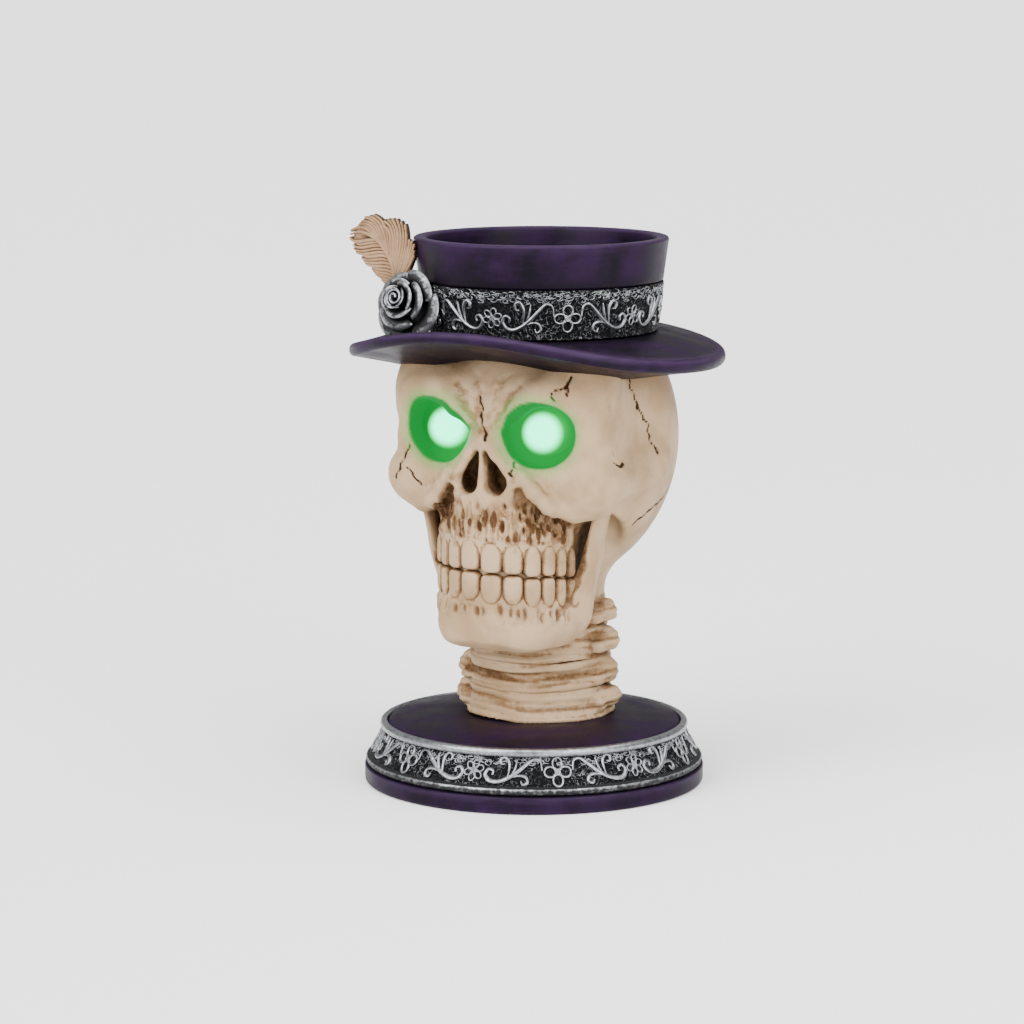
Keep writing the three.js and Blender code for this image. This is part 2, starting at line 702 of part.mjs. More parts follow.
function hatCrown() {
  const shoulder = BAND_TOP_Z + SLIP;
  const spigotFoot = BRIM_TOP_Z - BRIM_ROOT - SPIGOT_REACH;
  const floor = CROWN_FOOT_Z + CUP_FLOOR;
  const lip = 0.5;
  return revolve([
    [0, CROWN_FOOT_Z],
    [SPIGOT_RADIUS - SPIGOT_WALL, CROWN_FOOT_Z],
    [SPIGOT_RADIUS - SPIGOT_WALL, spigotFoot],
    [SPIGOT_RADIUS, spigotFoot],
    [SPIGOT_RADIUS, CROWN_FOOT_Z],
    [seatRadius(CROWN_FOOT_Z), CROWN_FOOT_Z],
    [seatRadius(shoulder), shoulder],
    [crownRadius(shoulder), shoulder],
    [CROWN_TOP_RADIUS, CROWN_TOP_Z - lip],
    [CROWN_TOP_RADIUS - lip, CROWN_TOP_Z],
    [CROWN_TOP_RADIUS - CROWN_WALL + lip, CROWN_TOP_Z],
    [CROWN_TOP_RADIUS - CROWN_WALL, CROWN_TOP_Z - lip],
    [seatRadius(floor) - CROWN_WALL + 0.4, floor],
    [0, floor],
  ], HAT_SEGMENTS, HAT_Y);
}

function hatBand() {
  const inner = (z) => seatRadius(z) + SLIP;
  const outer = (z) => inner(z) + BAND_THICKNESS;
  return revolve([
    [inner(BAND_FOOT_Z), BAND_FOOT_Z],
    [outer(BAND_FOOT_Z), BAND_FOOT_Z],
    [outer(BAND_TOP_Z), BAND_TOP_Z],
    [inner(BAND_TOP_Z), BAND_TOP_Z],
    [inner(BAND_FOOT_Z), BAND_FOOT_Z],
  ], HAT_SEGMENTS, HAT_Y);
}

// The outside of the hat, grown by the glue gap: it trims what is glued on to the hat
function hatTrim() {
  const wall = revolve([
    [0, CROWN_FOOT_Z - 1],
    [seatRadius(CROWN_FOOT_Z) + SLIP + BAND_THICKNESS + GLUE_GAP, CROWN_FOOT_Z - 1],
    [seatRadius(BAND_TOP_Z) + SLIP + BAND_THICKNESS + GLUE_GAP, BAND_TOP_Z + GLUE_GAP],
    [CROWN_TOP_RADIUS + GLUE_GAP, CROWN_TOP_Z],
    [0, CROWN_TOP_Z],
  ], HAT_SEGMENTS, HAT_Y);
  const profileAt = (angle) => {
    const reach = brimReach(angle) + 6;
    const steps = [0, 0.3, 0.65, 1].map((share) => BRIM_ROOT_RADIUS + share * (reach - 6 - BRIM_ROOT_RADIUS));
    const over = steps.map((radius) => [radius, brimTop(angle, radius) + GLUE_GAP]);
    return [
      [SPIGOT_RADIUS, BRIM_TOP_Z - 30],
      [reach, BRIM_TOP_Z - 30],
      [reach, brimTop(angle, reach) + GLUE_GAP],
      ...over.reverse(),
      [SPIGOT_RADIUS, BRIM_TOP_Z + GLUE_GAP],
    ];
  };
  return solid(wall).add(solid(variedRing(profileAt, BRIM_SEGMENTS, HAT_Y)));
}

// Skull

const halfFace = FACE_WIDTH / 2;
const halfCheek = CHEEK_WIDTH / 2;
const eyeX = EYE_SPREAD / 2;

function mandibleField() {
  const half = JAW_THICKNESS / 2;
  const border = CHIN_Z + half;
  const lower = chain(4, [
    [0, half - CHIN_FRONT, border, half],
    [11, half - CHIN_FRONT + 2, border, half],
    [16.6, half - CHIN_FRONT + 7, border + 0.8, half],
    [JAW_ANGLE_WIDTH / 2 - 3.4, -11.5, border + 2.8, half - 0.6],
  ]);
  const alveolus = carve(2, archColumn(1, CHIN_Z + 6, GUM_LOWER_Z + 0.6), ellipsoid(0, 6, 0, 21, 22, 60));
  const mouthFloor = archColumn(TOOTH_PROUD, CHIN_Z + 8, MOUTH_Z - 0.5 * GLUE_GAP);
  const chin = ellipsoid(0, 6.2 - CHIN_FRONT, CHIN_Z + 6.4, 14, 6.2, 6.4);
  const ramus = mandibleRamus();
  return mirrored(blend(4, lower, alveolus, chin, ramus, mouthFloor));
}

// The flat upright branch of the jaw: it flares as it rises and turns in toward the teeth at the foot
function mandibleRamus() {
  const half = RAMUS_BREADTH / 2;
  const middle = half - RAMUS_FRONT;
  const squeeze = RAMUS_BREADTH / RAMUS_THICKNESS;
  const outline = chain(3, [
    [0, middle + 0.6, RAMUS_TOP_Z - half, half - 0.2],
    [0, middle, (RAMUS_TOP_Z + CHIN_Z) / 2 + 4, half],
    [0, middle - 2.2, CHIN_Z + 14, half + 1.1],
    [0, middle - 4, CHIN_Z + 10, half + 1.4],
  ]);
  const flare = 0.145;
  const turnIn = 0.23;
  return (x, y, z) => {
    const inward = turnIn * Math.max(0, middle - y) * (1 - z / 40);
    const face = JAW_ANGLE_WIDTH / 2 + flare * z - inward - RAMUS_THICKNESS / 2;
    return outline((x - face) * squeeze, y, z) / Math.sqrt(squeeze);
  };
}

function craniumField() {
  const braincase = ellipsoid(
    0, BRAINCASE_Y, BRAINCASE_Z, BRAINCASE_WIDTH / 2, BRAINCASE_LENGTH / 2, BRAINCASE_HEIGHT / 2);
  const neckRoot = rod([0, NECK_Y + 0.5, -8], [0, BRAINCASE_Y - 3, 12], 18.6);
  const face = ellipsoid(0, 17.5 - FACE_FRONT, EYE_Z - 2.8, halfFace, 17.5, 22);
  const browBone = chain(2, [
    [4.5, 4 - FACE_FRONT, BROW_Z - 1.5, 5.2],
    [17, 4 - FACE_FRONT, BROW_Z, 5.6],
    [halfFace - 7, 8.2 - FACE_FRONT, BROW_Z - 3, 5.4],
    [halfFace - 5.5, 9 - FACE_FRONT, EYE_Z - 3, 5.2],
  ]);
  const cheekX = halfCheek - CHEEK_BREADTH / 2;
  const cheek = ellipsoid(cheekX, 8.6 - CHEEK_FRONT, CHEEK_Z, CHEEK_BREADTH / 2, 8.6, CHEEK_HEIGHT / 2);
  const archBone = rod([halfCheek - 5.8, -13, CHEEK_Z + 1], [halfCheek - 3.8, 6, CHEEK_Z + 4], 6.2, 6);
  const bridge = rod([0, 3 - FACE_FRONT, BROW_Z - 5], [0, 3.3 - MUZZLE_FRONT, NOSE_TOP_Z], 4, 3.3);
  const muzzle = ellipsoid(0, 13.4 - MUZZLE_FRONT, NOSE_FOOT_Z + 2.6, 14.2, 13.4, 14);
  const maxilla = carve(1.5,
    ellipsoid(0, ARCH_Y, GUM_UPPER_Z + 1.5, ARCH_HALF_WIDTH - 0.7, ARCH_DEPTH - 0.8, 26),
    (x, y, z) => z - GUM_UPPER_Z + 0.6);
  const palate = archColumn(TOOTH_PROUD, MOUTH_Z + 0.5 * GLUE_GAP, GUM_UPPER_Z + 4);
  const bone = blend(
    5, braincase, face, neckRoot, cheek, archBone, browBone, bridge, muzzle, maxilla, palate);
  const temple = ellipsoid(halfCheek + 5.2, -5, EYE_Z + 1.2, 8, 16, 15);
  const underCheek = chain(2, [
    [10.4, -33, CHEEK_Z - 0.6, 2.2],
    [12, -31.4, CHEEK_Z - 4.4, 2.6],
    [15.2, -28, CHEEK_Z - 9.4, 3.1],
    [20.5, -23, CHEEK_Z - 13.2, 3.6],
    [27, -17, CHEEK_Z - 14.4, 4],
  ]);
  const ramusRoom = ellipsoid(JAW_ANGLE_WIDTH / 2 + 2.2, -11, MOUTH_Z + 0.5, 6.5, 12, 15);
  const cheekRim = chain(2, [
    [11.4, -32, CHEEK_Z + 3.4, 1.8],
    [14.4, -30.8, CHEEK_Z - 1.4, 2],
    [18.4, -28, CHEEK_Z - 5.8, 2.3],
    [24, -23.2, CHEEK_Z - 7.8, 2.6],
    [30, -16.5, CHEEK_Z - 6.8, 2.8],
  ]);
  const browRim = chain(2, [
    [4.2, -FACE_FRONT - 0.9, EYE_Z + 2.2, 2.2],
    [9.4, -FACE_FRONT - 1.9, EYE_Z + 7.1, 2.7],
    [16, -FACE_FRONT - 0.9, BROW_Z + 0.4, 3],
    [24.5, 2.7 - FACE_FRONT, BROW_Z - 0.2, 3],
  ]);
  const shaped = mirrored(blend(2.6, carve(2.4, bone, temple, underCheek, ramusRoom), cheekRim, browRim));
  return (x, y, z) => Math.max(shaped(x, y, z), -1 - z, z - BRIM_TOP_Z);
}

function skullLines() {
  const back = BRAINCASE_Y + BRAINCASE_LENGTH / 2;
  return [
    mirroredLines([[0, FACE_CELL], [ARCH_HALF_WIDTH, FACE_CELL], [halfCheek + 8, 2 * FACE_CELL]]),
    gridLines([[-MUZZLE_FRONT - 5, FACE_CELL], [-ARCH_HALF_WIDTH, FACE_CELL], [back + BACK_CELL, BACK_CELL]]),
    gridLines([[-4, 2 * FACE_CELL], [MOUTH_Z, 1.3 * FACE_CELL], [GUM_UPPER_Z, FACE_CELL], [BROW_Z, FACE_CELL],
      [BRIM_TOP_Z + 5, 2 * FACE_CELL]]),
  ];
}

// One tooth on the dental arch, at a distance along it from the middle: square at the bite, round at the gum
function tooth(distance, width, bite, gum) {
  let turn = 0;
  let gone = 0;
  while (gone < distance) {
    const step = 0.01;
    gone += step * Math.hypot(ARCH_HALF_WIDTH * Math.cos(turn), ARCH_DEPTH * Math.sin(turn));
    turn += step;
  }
  const face = [ARCH_HALF_WIDTH * Math.sin(turn), ARCH_Y - ARCH_DEPTH * Math.cos(turn)];
  const heading = Math.atan2(ARCH_DEPTH * Math.sin(turn), ARCH_HALF_WIDTH * Math.cos(turn));
  const half = (width - TOOTH_GAP) / 2;
  const shoulder = gum + 0.9 * half * Math.sign(bite - gum);
  const shape = new THREE.Shape();
  shape.moveTo(-half, bite);
  shape.lineTo(half, bite);
  shape.lineTo(half, shoulder);
  shape.quadraticCurveTo(0.85 * half, gum, 0, gum);
  shape.quadraticCurveTo(-0.85 * half, gum, -half, shoulder);
  const extrude = { depth: TOOTH_THICKNESS, bevelEnabled: false, curveSegments: 2 };
  const block = new THREE.ExtrudeGeometry(shape, extrude).rotateX(Math.PI / 2);
  return block.translate(0, TOOTH_THICKNESS, 0).rotateZ(heading).translate(face[0], face[1], 0);
}

function withTeeth(body, bite, gum) {
  let result = body;
  let gone = 0;
  for (const width of TOOTH_WIDTHS) {
    const right = solid(tooth(gone + width / 2, width, bite, gum));
    result = result.add(bothSides(right));
    gone += width;
  }
  return result;
}

// One nostril: a leaning drop, narrow at the top
function nostril() {
  const half = NOSE_WIDTH / 2;
  const inner = SEPTUM / 2;
  const height = NOSE_TOP_Z - NOSE_FOOT_Z;
  const shape = new THREE.Shape();
  shape.moveTo(inner, NOSE_TOP_Z);
  const widest = NOSE_FOOT_Z + 0.22 * height;
  shape.bezierCurveTo(0.4 * half, NOSE_TOP_Z - 0.1 * height, half, widest + 0.23 * height, half, widest);
  shape.bezierCurveTo(
    half, NOSE_FOOT_Z, 0.35 * half, NOSE_FOOT_Z - 0.05 * height, inner, NOSE_FOOT_Z + 0.12 * height);
  const extrude = { depth: 2 * NOSE_DEPTH, bevelEnabled: false, curveSegments: 5 };
  const drop = new THREE.ExtrudeGeometry(shape, extrude).rotateX(Math.PI / 2);
  return drop.translate(0, NOSE_DEPTH - MUZZLE_FRONT, 0);
}

// One socket: a bowl that runs to a point at the nose, open to the lens bore
function orbit() {
  const middle = eyeX + ORBIT_OFFSET;
  const bowl = new THREE.SphereGeometry(1, 14, 9).scale(ORBIT_WIDTH / 2, ORBIT_DEPTH, ORBIT_HEIGHT / 2);
  bowl.translate(middle, -FACE_FRONT, EYE_Z);
  const corner = new THREE.SphereGeometry(1, 8, 6).scale(4.4, 8, 3.6);
  corner.translate(middle - ORBIT_WIDTH / 2 + 2, -FACE_FRONT - 2, EYE_Z);
  return solid(bowl).add(solid(corner));
}

function lensBore() {
  const bore = post(LENS_RADIUS + SLIP, 0, LENS_CENTRE + CUT, EYE_SEGMENTS);
  return solid(bore.rotateX(Math.PI / 2).translate(eyeX, 0, EYE_Z));
}

function cavity() {
  const hollow = new THREE.SphereGeometry(1, 12, 8).rotateX(Math.PI / 2);
  const top = BRIM_TOP_Z - BRIM_ROOT - SKULL_WALL + 1.5;
  const foot = 2 * BRAINCASE_Z - top - 6;
  hollow.scale(BRAINCASE_WIDTH / 2 - SKULL_WALL, BRAINCASE_LENGTH / 2 - SKULL_WALL - 3, (top - foot) / 2);
  hollow.translate(0, BRAINCASE_Y + 3, (top + foot) / 2);
  const canal = post(CANAL_RADIUS, -CUT, BRAINCASE_Z, CANAL_SEGMENTS, 0, NECK_Y);
  return solid(hollow).add(solid(canal));
}

function bothSides(body) {
  return body.add(body.mirror([1, 0, 0]));
}

function neckTrim() {
  const radius = NECK_RADIUS + 2 * GLUE_GAP;
  return solid(post(radius, CHIN_Z - CUT, GLUE_GAP, NECK_SEGMENTS, 0, NECK_Y));
}

function skullPieces() {
  const lines = skullLines();
  const floor = solid(box(200, 200, -60, 0));
  const field = craniumField();
  let cranium = solid(polygonise(field, lines)).subtract(floor);
  const clearance = solid(polygonise(grown(field, GLUE_GAP + 0.15), lines));
  cranium = withTeeth(cranium, MOUTH_Z + GLUE_GAP / 2, GUM_UPPER_Z + TOOTH_ROOT);
  cranium = cranium.subtract(brimTrim()).subtract(cavity());
  cranium = cranium.subtract(bothSides(orbit().add(lensBore()))).subtract(bothSides(solid(nostril())));
  const jawLines = [
    mirroredLines([[0, JAW_CELL], [halfCheek, JAW_CELL]]),
    gridLines([[-ARCH_FRONT - GRID_MARGIN, JAW_CELL], [JAW_BACK, JAW_CELL]]),
    gridLines([[CHIN_Z - GRID_MARGIN, JAW_CELL], [RAMUS_TOP_Z + GRID_MARGIN, JAW_CELL]]),
  ];
  let mandible = solid(polygonise(mandibleField(), jawLines));
  mandible = withTeeth(mandible, MOUTH_Z - GLUE_GAP / 2, GUM_LOWER_Z - TOOTH_ROOT);
  const biteZ = MOUTH_Z - GLUE_GAP / 2;
  const bite = solid(box(2 * ARCH_HALF_WIDTH + 1, 2 * ARCH_DEPTH, biteZ, GUM_UPPER_Z, 0, ARCH_Y));
  mandible = mandible.subtract(clearance).subtract(neckTrim()).subtract(bite);
  return { cranium: geometryOf(cranium), mandible: geometryOf(mandible) };
}

// Rose and plume

const roseTurn = radians(ROSE_ANGLE);
const roseDistance = seatRadius(ROSE_Z) + BAND_THICKNESS + ROSE_OUT;
const ROSE_X = roseDistance * Math.sin(roseTurn);
const ROSE_Y = HAT_Y - roseDistance * Math.cos(roseTurn);

// Nested scalloped cups round a bud, each a ring of petals
function rose(trim) {
  const petalRing = (petals, radius, height, phase) => variedRing((angle) => {
    const wave = Math.abs(Math.cos((petals * angle) / 2 + phase));
    const lip = radius * (0.86 + 0.14 * wave);
    const top = height * (0.8 + 0.2 * wave);
    const wall = 0.11 * ROSE_RADIUS;
    return [
      [0.18 * radius, -0.42 * ROSE_RADIUS],
      [0.62 * radius, -0.3 * ROSE_RADIUS],
      [0.9 * lip, 0.35 * top],
      [lip, top],
      [lip - wall, top + 0.4 * wall],
      [0.88 * lip - wall, 0.4 * top],
      [0.18 * radius, -0.2 * ROSE_RADIUS],
    ];
  }, 15);
  const bud = new THREE.SphereGeometry(1, 8, 6).rotateX(Math.PI / 2);
  bud.scale(0.26 * ROSE_RADIUS, 0.26 * ROSE_RADIUS, 0.95 * ROSE_RADIUS);
  const rings = [
    petalRing(5, ROSE_RADIUS, 0.18 * ROSE_RADIUS, 0.3),
    petalRing(4, 0.74 * ROSE_RADIUS, 0.5 * ROSE_RADIUS, 1.1),
    petalRing(3, 0.48 * ROSE_RADIUS, 0.72 * ROSE_RADIUS, 0.5),
  ];
  const flower = rings.reduce((body, ring) => body.add(solid(ring)), solid(bud));
  const placed = geometryOf(flower);
  placed.rotateX(radians(78)).rotateZ(radians(-14)).translate(ROSE_X, ROSE_Y, ROSE_Z);
  return geometryOf(solid(placed).subtract(trim));
}

// A curled plume: a flat leaf with lobed edges along its quill, facing forward behind the rose
function feather(trim) {
  const behind = ROSE_Y + PLUME_BEHIND;
  const bend = [[0.27, 0.03], [0.33, 0.28], [0.42, 0.64], [0.61, 0.9], [0.84, 1], [1, 0.96]];
  const quill = new THREE.CatmullRomCurve3(bend.map(([lean, rise]) => (
    vector(ROSE_X - lean * PLUME_LEAN, behind, ROSE_Z + rise * PLUME_RISE)
  )));
  const facing = vector(0, -1, 0);
  const steps = 27;
  const loops = [];
  for (let i = 0; i <= steps; i += 1) {
    const t = i / steps;
    const centre = quill.getPoint(t);
    const across = quill.getTangent(t).cross(facing).normalize();
    const lobes = 0.86 + 0.14 * Math.abs(Math.sin(Math.PI * PLUME_LOBES * t));
    const half = PLUME_STALK + (PLUME_WIDTH / 2 - PLUME_STALK) * Math.sin(Math.PI * t) * lobes;
    const thick = (PLUME_THICKNESS / 2) * (1 - 0.5 * t);
    const at = (side, depth) => centre.clone()
      .addScaledVector(across, side * half)
      .addScaledVector(facing, depth * thick);
    loops.push([at(1, 0), at(0.4, -0.6), at(-0.4, -0.6), at(-1, 0), at(-0.45, 0.7), at(0, 1), at(0.45, 0.7)]);
  }
  return solid(loft(loops)).subtract(trim);
}

// Eyes, revolved about the line of sight

function lensProfile() {
  const inner = LENS_RADIUS - LENS_WALL;
  const outline = [[inner, LENS_BACK], [LENS_RADIUS, LENS_BACK]];
  const steps = 3;
  for (let i = 0; i <= steps; i += 1) {
    const turn = (Math.PI / 2) * (i / steps);
    outline.push([LENS_RADIUS * Math.cos(turn), LENS_CENTRE + LENS_RADIUS * Math.sin(turn)]);
  }
  for (let i = steps; i >= 0; i -= 1) {
    const turn = (Math.PI / 2) * (i / steps);
    outline.push([inner * Math.cos(turn), LENS_CENTRE + inner * Math.sin(turn)]);
  }
  outline.push(outline[0]);
  return outline;
}

const LED_BACK = LENS_BACK + 0.5;

function ledProfile() {
  const tip = LED_BACK + LED_FLANGE + LED_LENGTH;
  const shoulder = tip - LED_RADIUS;
  return [
    [0, LED_BACK],
    [LED_RADIUS + 0.4, LED_BACK],
    [LED_RADIUS + 0.4, LED_BACK + LED_FLANGE],
    [LED_RADIUS, LED_BACK + LED_FLANGE],
    [LED_RADIUS, shoulder],
    [0.8 * LED_RADIUS, shoulder + 0.6 * LED_RADIUS],
    [0, tip],
  ];
}

function holderProfile() {
  const outer = LENS_RADIUS - LENS_WALL - SLIP;
  const ledge = LED_BACK + LED_FLANGE + SLIP;
  const front = LENS_BACK + HOLDER_LENGTH;
  return [
    [LED_RADIUS + 0.4 + SLIP, LENS_BACK],
    [outer, LENS_BACK],
    [outer, front],
    [LED_RADIUS + SLIP, front],
    [LED_RADIUS + SLIP, ledge],
    [LED_RADIUS + 0.4 + SLIP, ledge],
    [LED_RADIUS + 0.4 + SLIP, LENS_BACK],
  ];
}

// Electrics in the base

function batteryBox() {
  const foot = PLINTH_HEIGHT + GLUE_GAP;
  const front = BAY_Y - BOX_LENGTH / 2;
  const shell = solid(roundedPlate(
    BOX_WIDTH, front, front + BOX_LENGTH, foot, BAY_ROOF_Z + BOX_ROOF, BOX_CORNER));
  const bay = solid(post(BAY_RADIUS, foot - CUT, BAY_ROOF_Z, BAY_SEGMENTS, 0, BAY_Y));
  const pocketTop = BAY_ROOF_Z - POCKET_ROOF;
  const pocket = box(2 * POCKET_DEPTH, SPRING_WIDTH + 2 * SLIP, foot - CUT, pocketTop, BAY_RADIUS, BAY_Y);
  return geometryOf(shell.subtract(bay).subtract(solid(pocket)));
}

function coinCell(foot) {
  return post(CELL_RADIUS, foot, foot + CELL_HEIGHT, BAY_SEGMENTS, 0, BAY_Y);
}

// A bowed strip between the upper cell and the roof of its bay
function contactSpring() {
  const half = 0.7 * CELL_RADIUS;
  const low = CELL_TOP_Z + GLUE_GAP;
  const high = BAY_ROOF_Z - GLUE_GAP - SPRING_SHEET;
  const shape = new THREE.Shape();
  shape.moveTo(-half, high);
  shape.quadraticCurveTo(0, 2 * low - high, half, high);
  shape.lineTo(half, high + SPRING_SHEET);
  shape.quadraticCurveTo(0, 2 * low - high + SPRING_SHEET, -half, high + SPRING_SHEET);
  const extrude = { depth: SPRING_WIDTH, bevelEnabled: false, curveSegments: 6 };
  const strip = new THREE.ExtrudeGeometry(shape, extrude).rotateX(Math.PI / 2);
  return strip.translate(0, BAY_Y + SPRING_WIDTH / 2, 0);
}

function contactSide() {
  const top = BAY_ROOF_Z - POCKET_ROOF - GLUE_GAP;
  const x = BAY_RADIUS + POCKET_DEPTH - GLUE_GAP - SPRING_SHEET / 2;
  const strip = solid(box(SPRING_SHEET, SPRING_WIDTH, PLINTH_HEIGHT + 2 * GLUE_GAP, top, x, BAY_Y));
  const middle = CELL_TOP_Z - CELL_HEIGHT / 2;
  const bump = new THREE.CylinderGeometry(CONTACT_BUMP, CONTACT_BUMP, SPRING_WIDTH, 10);
  bump.translate(x - SPRING_SHEET / 2, BAY_Y, middle);
  const behind = x + SPRING_SHEET / 4 + CONTACT_BUMP;
  const waste = box(2 * CONTACT_BUMP, SPRING_WIDTH + 2 * CUT, 0, BAY_ROOF_Z + CUT, behind, BAY_Y);
  return geometryOf(strip.add(solid(bump).subtract(solid(waste))));
}

function batteryDoor() {
  let body = solid(roundedPlate(DOOR_WIDTH, DOOR_FRONT_Y, DOOR_BACK_Y, DOOR_SINK, DOOR_TOP_Z, DOOR_CORNER));
  for (const side of [-1, 1]) {
    const tab = box(TAB_WIDTH, TAB_REACH + CUT, DOOR_TOP_Z - TAB_THICKNESS, DOOR_TOP_Z,
      (side * TAB_SPREAD) / 2, DOOR_BACK_Y + (TAB_REACH - CUT) / 2);
    body = body.add(solid(tab));
  }
  const headTop = SCREW_HEAD_Z + SCREW_HEAD_HEIGHT + SCREW_HEAD_ROOM;
  const head = post(SCREW_HEAD_RADIUS + SLIP, DOOR_SINK - CUT, headTop, 16, 0, SCREW_Y);
  const hole = post(SCREW_RADIUS + SLIP, DOOR_SINK - CUT, DOOR_TOP_Z + CUT, 12, 0, SCREW_Y);
  return geometryOf(body.subtract(solid(head)).subtract(solid(hole)));
}

function doorScrew() {
  const headTop = SCREW_HEAD_Z + SCREW_HEAD_HEIGHT;
  const body = revolve([
    [0, SCREW_HEAD_Z],
    [SCREW_HEAD_RADIUS, SCREW_HEAD_Z],
    [SCREW_HEAD_RADIUS, headTop],
    [SCREW_RADIUS, headTop],
    [SCREW_RADIUS, SCREW_TIP_Z - SCREW_RADIUS / 2],
    [0.4 * SCREW_RADIUS, SCREW_TIP_Z],
    [0, SCREW_TIP_Z],
  ], 12, SCREW_Y);
  const slotTop = SCREW_HEAD_Z + 0.6 * SCREW_HEAD_HEIGHT;
  const slot = box(1.25 * SCREW_HEAD_RADIUS, SCREW_SLOT, SCREW_HEAD_Z - CUT, slotTop, 0, SCREW_Y);
  return geometryOf(solid(body).subtract(solid(slot)));
}

const SLIDER_REST_X = -SWITCH_TRAVEL / 2;

function switchBody() {
  const foot = PLINTH_HEIGHT + GLUE_GAP;
  const shell = solid(box(SWITCH_LENGTH, SWITCH_WIDTH, foot, foot + SWITCH_HEIGHT, 0, SWITCH_Y));
  const room = SLIDER_LENGTH + 2 * SLIDER_SHOE + SWITCH_TRAVEL + 2 * SLIP;
  const track = box(room, SLIDER_WIDTH + 4 * SLIP, foot - CUT, foot + TRACK_HEIGHT, 0, SWITCH_Y);
  return geometryOf(shell.subtract(solid(track)));
}

function switchSlider() {
  const foot = PLINTH_HEIGHT + GLUE_GAP;
  const top = foot + SLIDER_HEIGHT;
  const stem = solid(box(SLIDER_LENGTH, SLIDER_WIDTH, SLIDER_SINK, top, SLIDER_REST_X, SWITCH_Y));
  const shoeLength = SLIDER_LENGTH + 2 * SLIDER_SHOE;
  const shoeWidth = SLIDER_WIDTH + 2 * SLIP;
  const shoe = box(shoeLength, shoeWidth, foot + SLIP / 3, top + SLIP / 2, SLIDER_REST_X, SWITCH_Y);
  return geometryOf(stem.add(solid(shoe)));
}

// The lead from one light, round the inside of the skull and down through the neck
function ledLead(side, end) {
  const x = (side * LEAD_SPACING) / 2;
  const eyeHeight = SKULL_Z + EYE_Z;
  return wire([
    vector(side * eyeX, GLUE_GAP - LED_BACK, eyeHeight),
    vector(side * (eyeX - 1), -5, eyeHeight - 1),
    vector(side * 9, 2, eyeHeight - 9),
    vector(x, NECK_Y, SKULL_Z + 32),
    vector(x, NECK_Y, SKULL_Z),
    vector(x, NECK_Y, FRIEZE_TOP_Z),
    ...end,
  ], 13);
}

// Assembly

function paint(color, roughness, metalness = 0) {
  return new THREE.MeshStandardMaterial({ color, roughness, metalness });
}

const BONE = paint(0xcdb698, 0.6);
const PURPLE = paint(0x3c2a4b, 0.4);
const SILVER = paint(0x8c8c92, 0.4, 0.7);
const TAN = paint(0xb59a78, 0.7);
const GREEN = paint(0x3dffa0, 0.25);
const CLEAR_GREEN = paint(0x9be8bd, 0.2);
const BLACK = paint(0x1b1a1d, 0.5);
const STEEL = paint(0xb9bcc0, 0.3, 0.9);

function piece(name, geometry, material) {
  const mesh = new THREE.Mesh(geometry, material);
  mesh.name = name;
  return mesh;
}

const figure = new THREE.Group();
const base = new THREE.Group();
base.add(
  piece("plinth", plinth(), PURPLE),
  piece("frieze_ring", friezeRing(), SILVER),
  piece("deck", deck(), PURPLE),
);

const neck = new THREE.Group();
neck.position.set(0, NECK_Y, NECK_FOOT_Z);
const vertebraShape = vertebra();
for (let i = 0; i < VERTEBRA_COUNT; i += 1) {
  const bone = piece(`vertebra_${i + 1}`, vertebraShape, BONE);
  bone.position.z = i * VERTEBRA_PITCH;
  neck.add(bone);
}

const head = new THREE.Group();
head.position.z = SKULL_Z;
const { cranium, mandible } = skullPieces();
const trim = hatTrim();
const flower = rose(trim);
const flowerRoom = solid(flower).add(trim);
head.add(
  piece("cranium", cranium, BONE),
  piece("mandible", mandible, BONE),
  piece("hat_brim", hatBrim(), PURPLE),
  piece("hat_crown", hatCrown(), PURPLE),
  piece("hat_band", hatBand(), SILVER),
  piece("rose", flower, SILVER),
  piece("feather", geometryOf(feather(flowerRoom)), TAN),
);

for (const [name, side] of [["left", 1], ["right", -1]]) {
  const eye = new THREE.Group();
  eye.position.set(side * eyeX, 0, EYE_Z);
  eye.rotation.x = Math.PI / 2;
  eye.add(
    piece(`eye_lens_${name}`, revolve(lensProfile(), EYE_SEGMENTS), GREEN),
    piece(`led_${name}`, revolve(ledProfile(), EYE_SEGMENTS), CLEAR_GREEN),
    piece(`led_holder_${name}`, revolve(holderProfile(), EYE_SEGMENTS), BLACK),
  );
  head.add(eye);
}

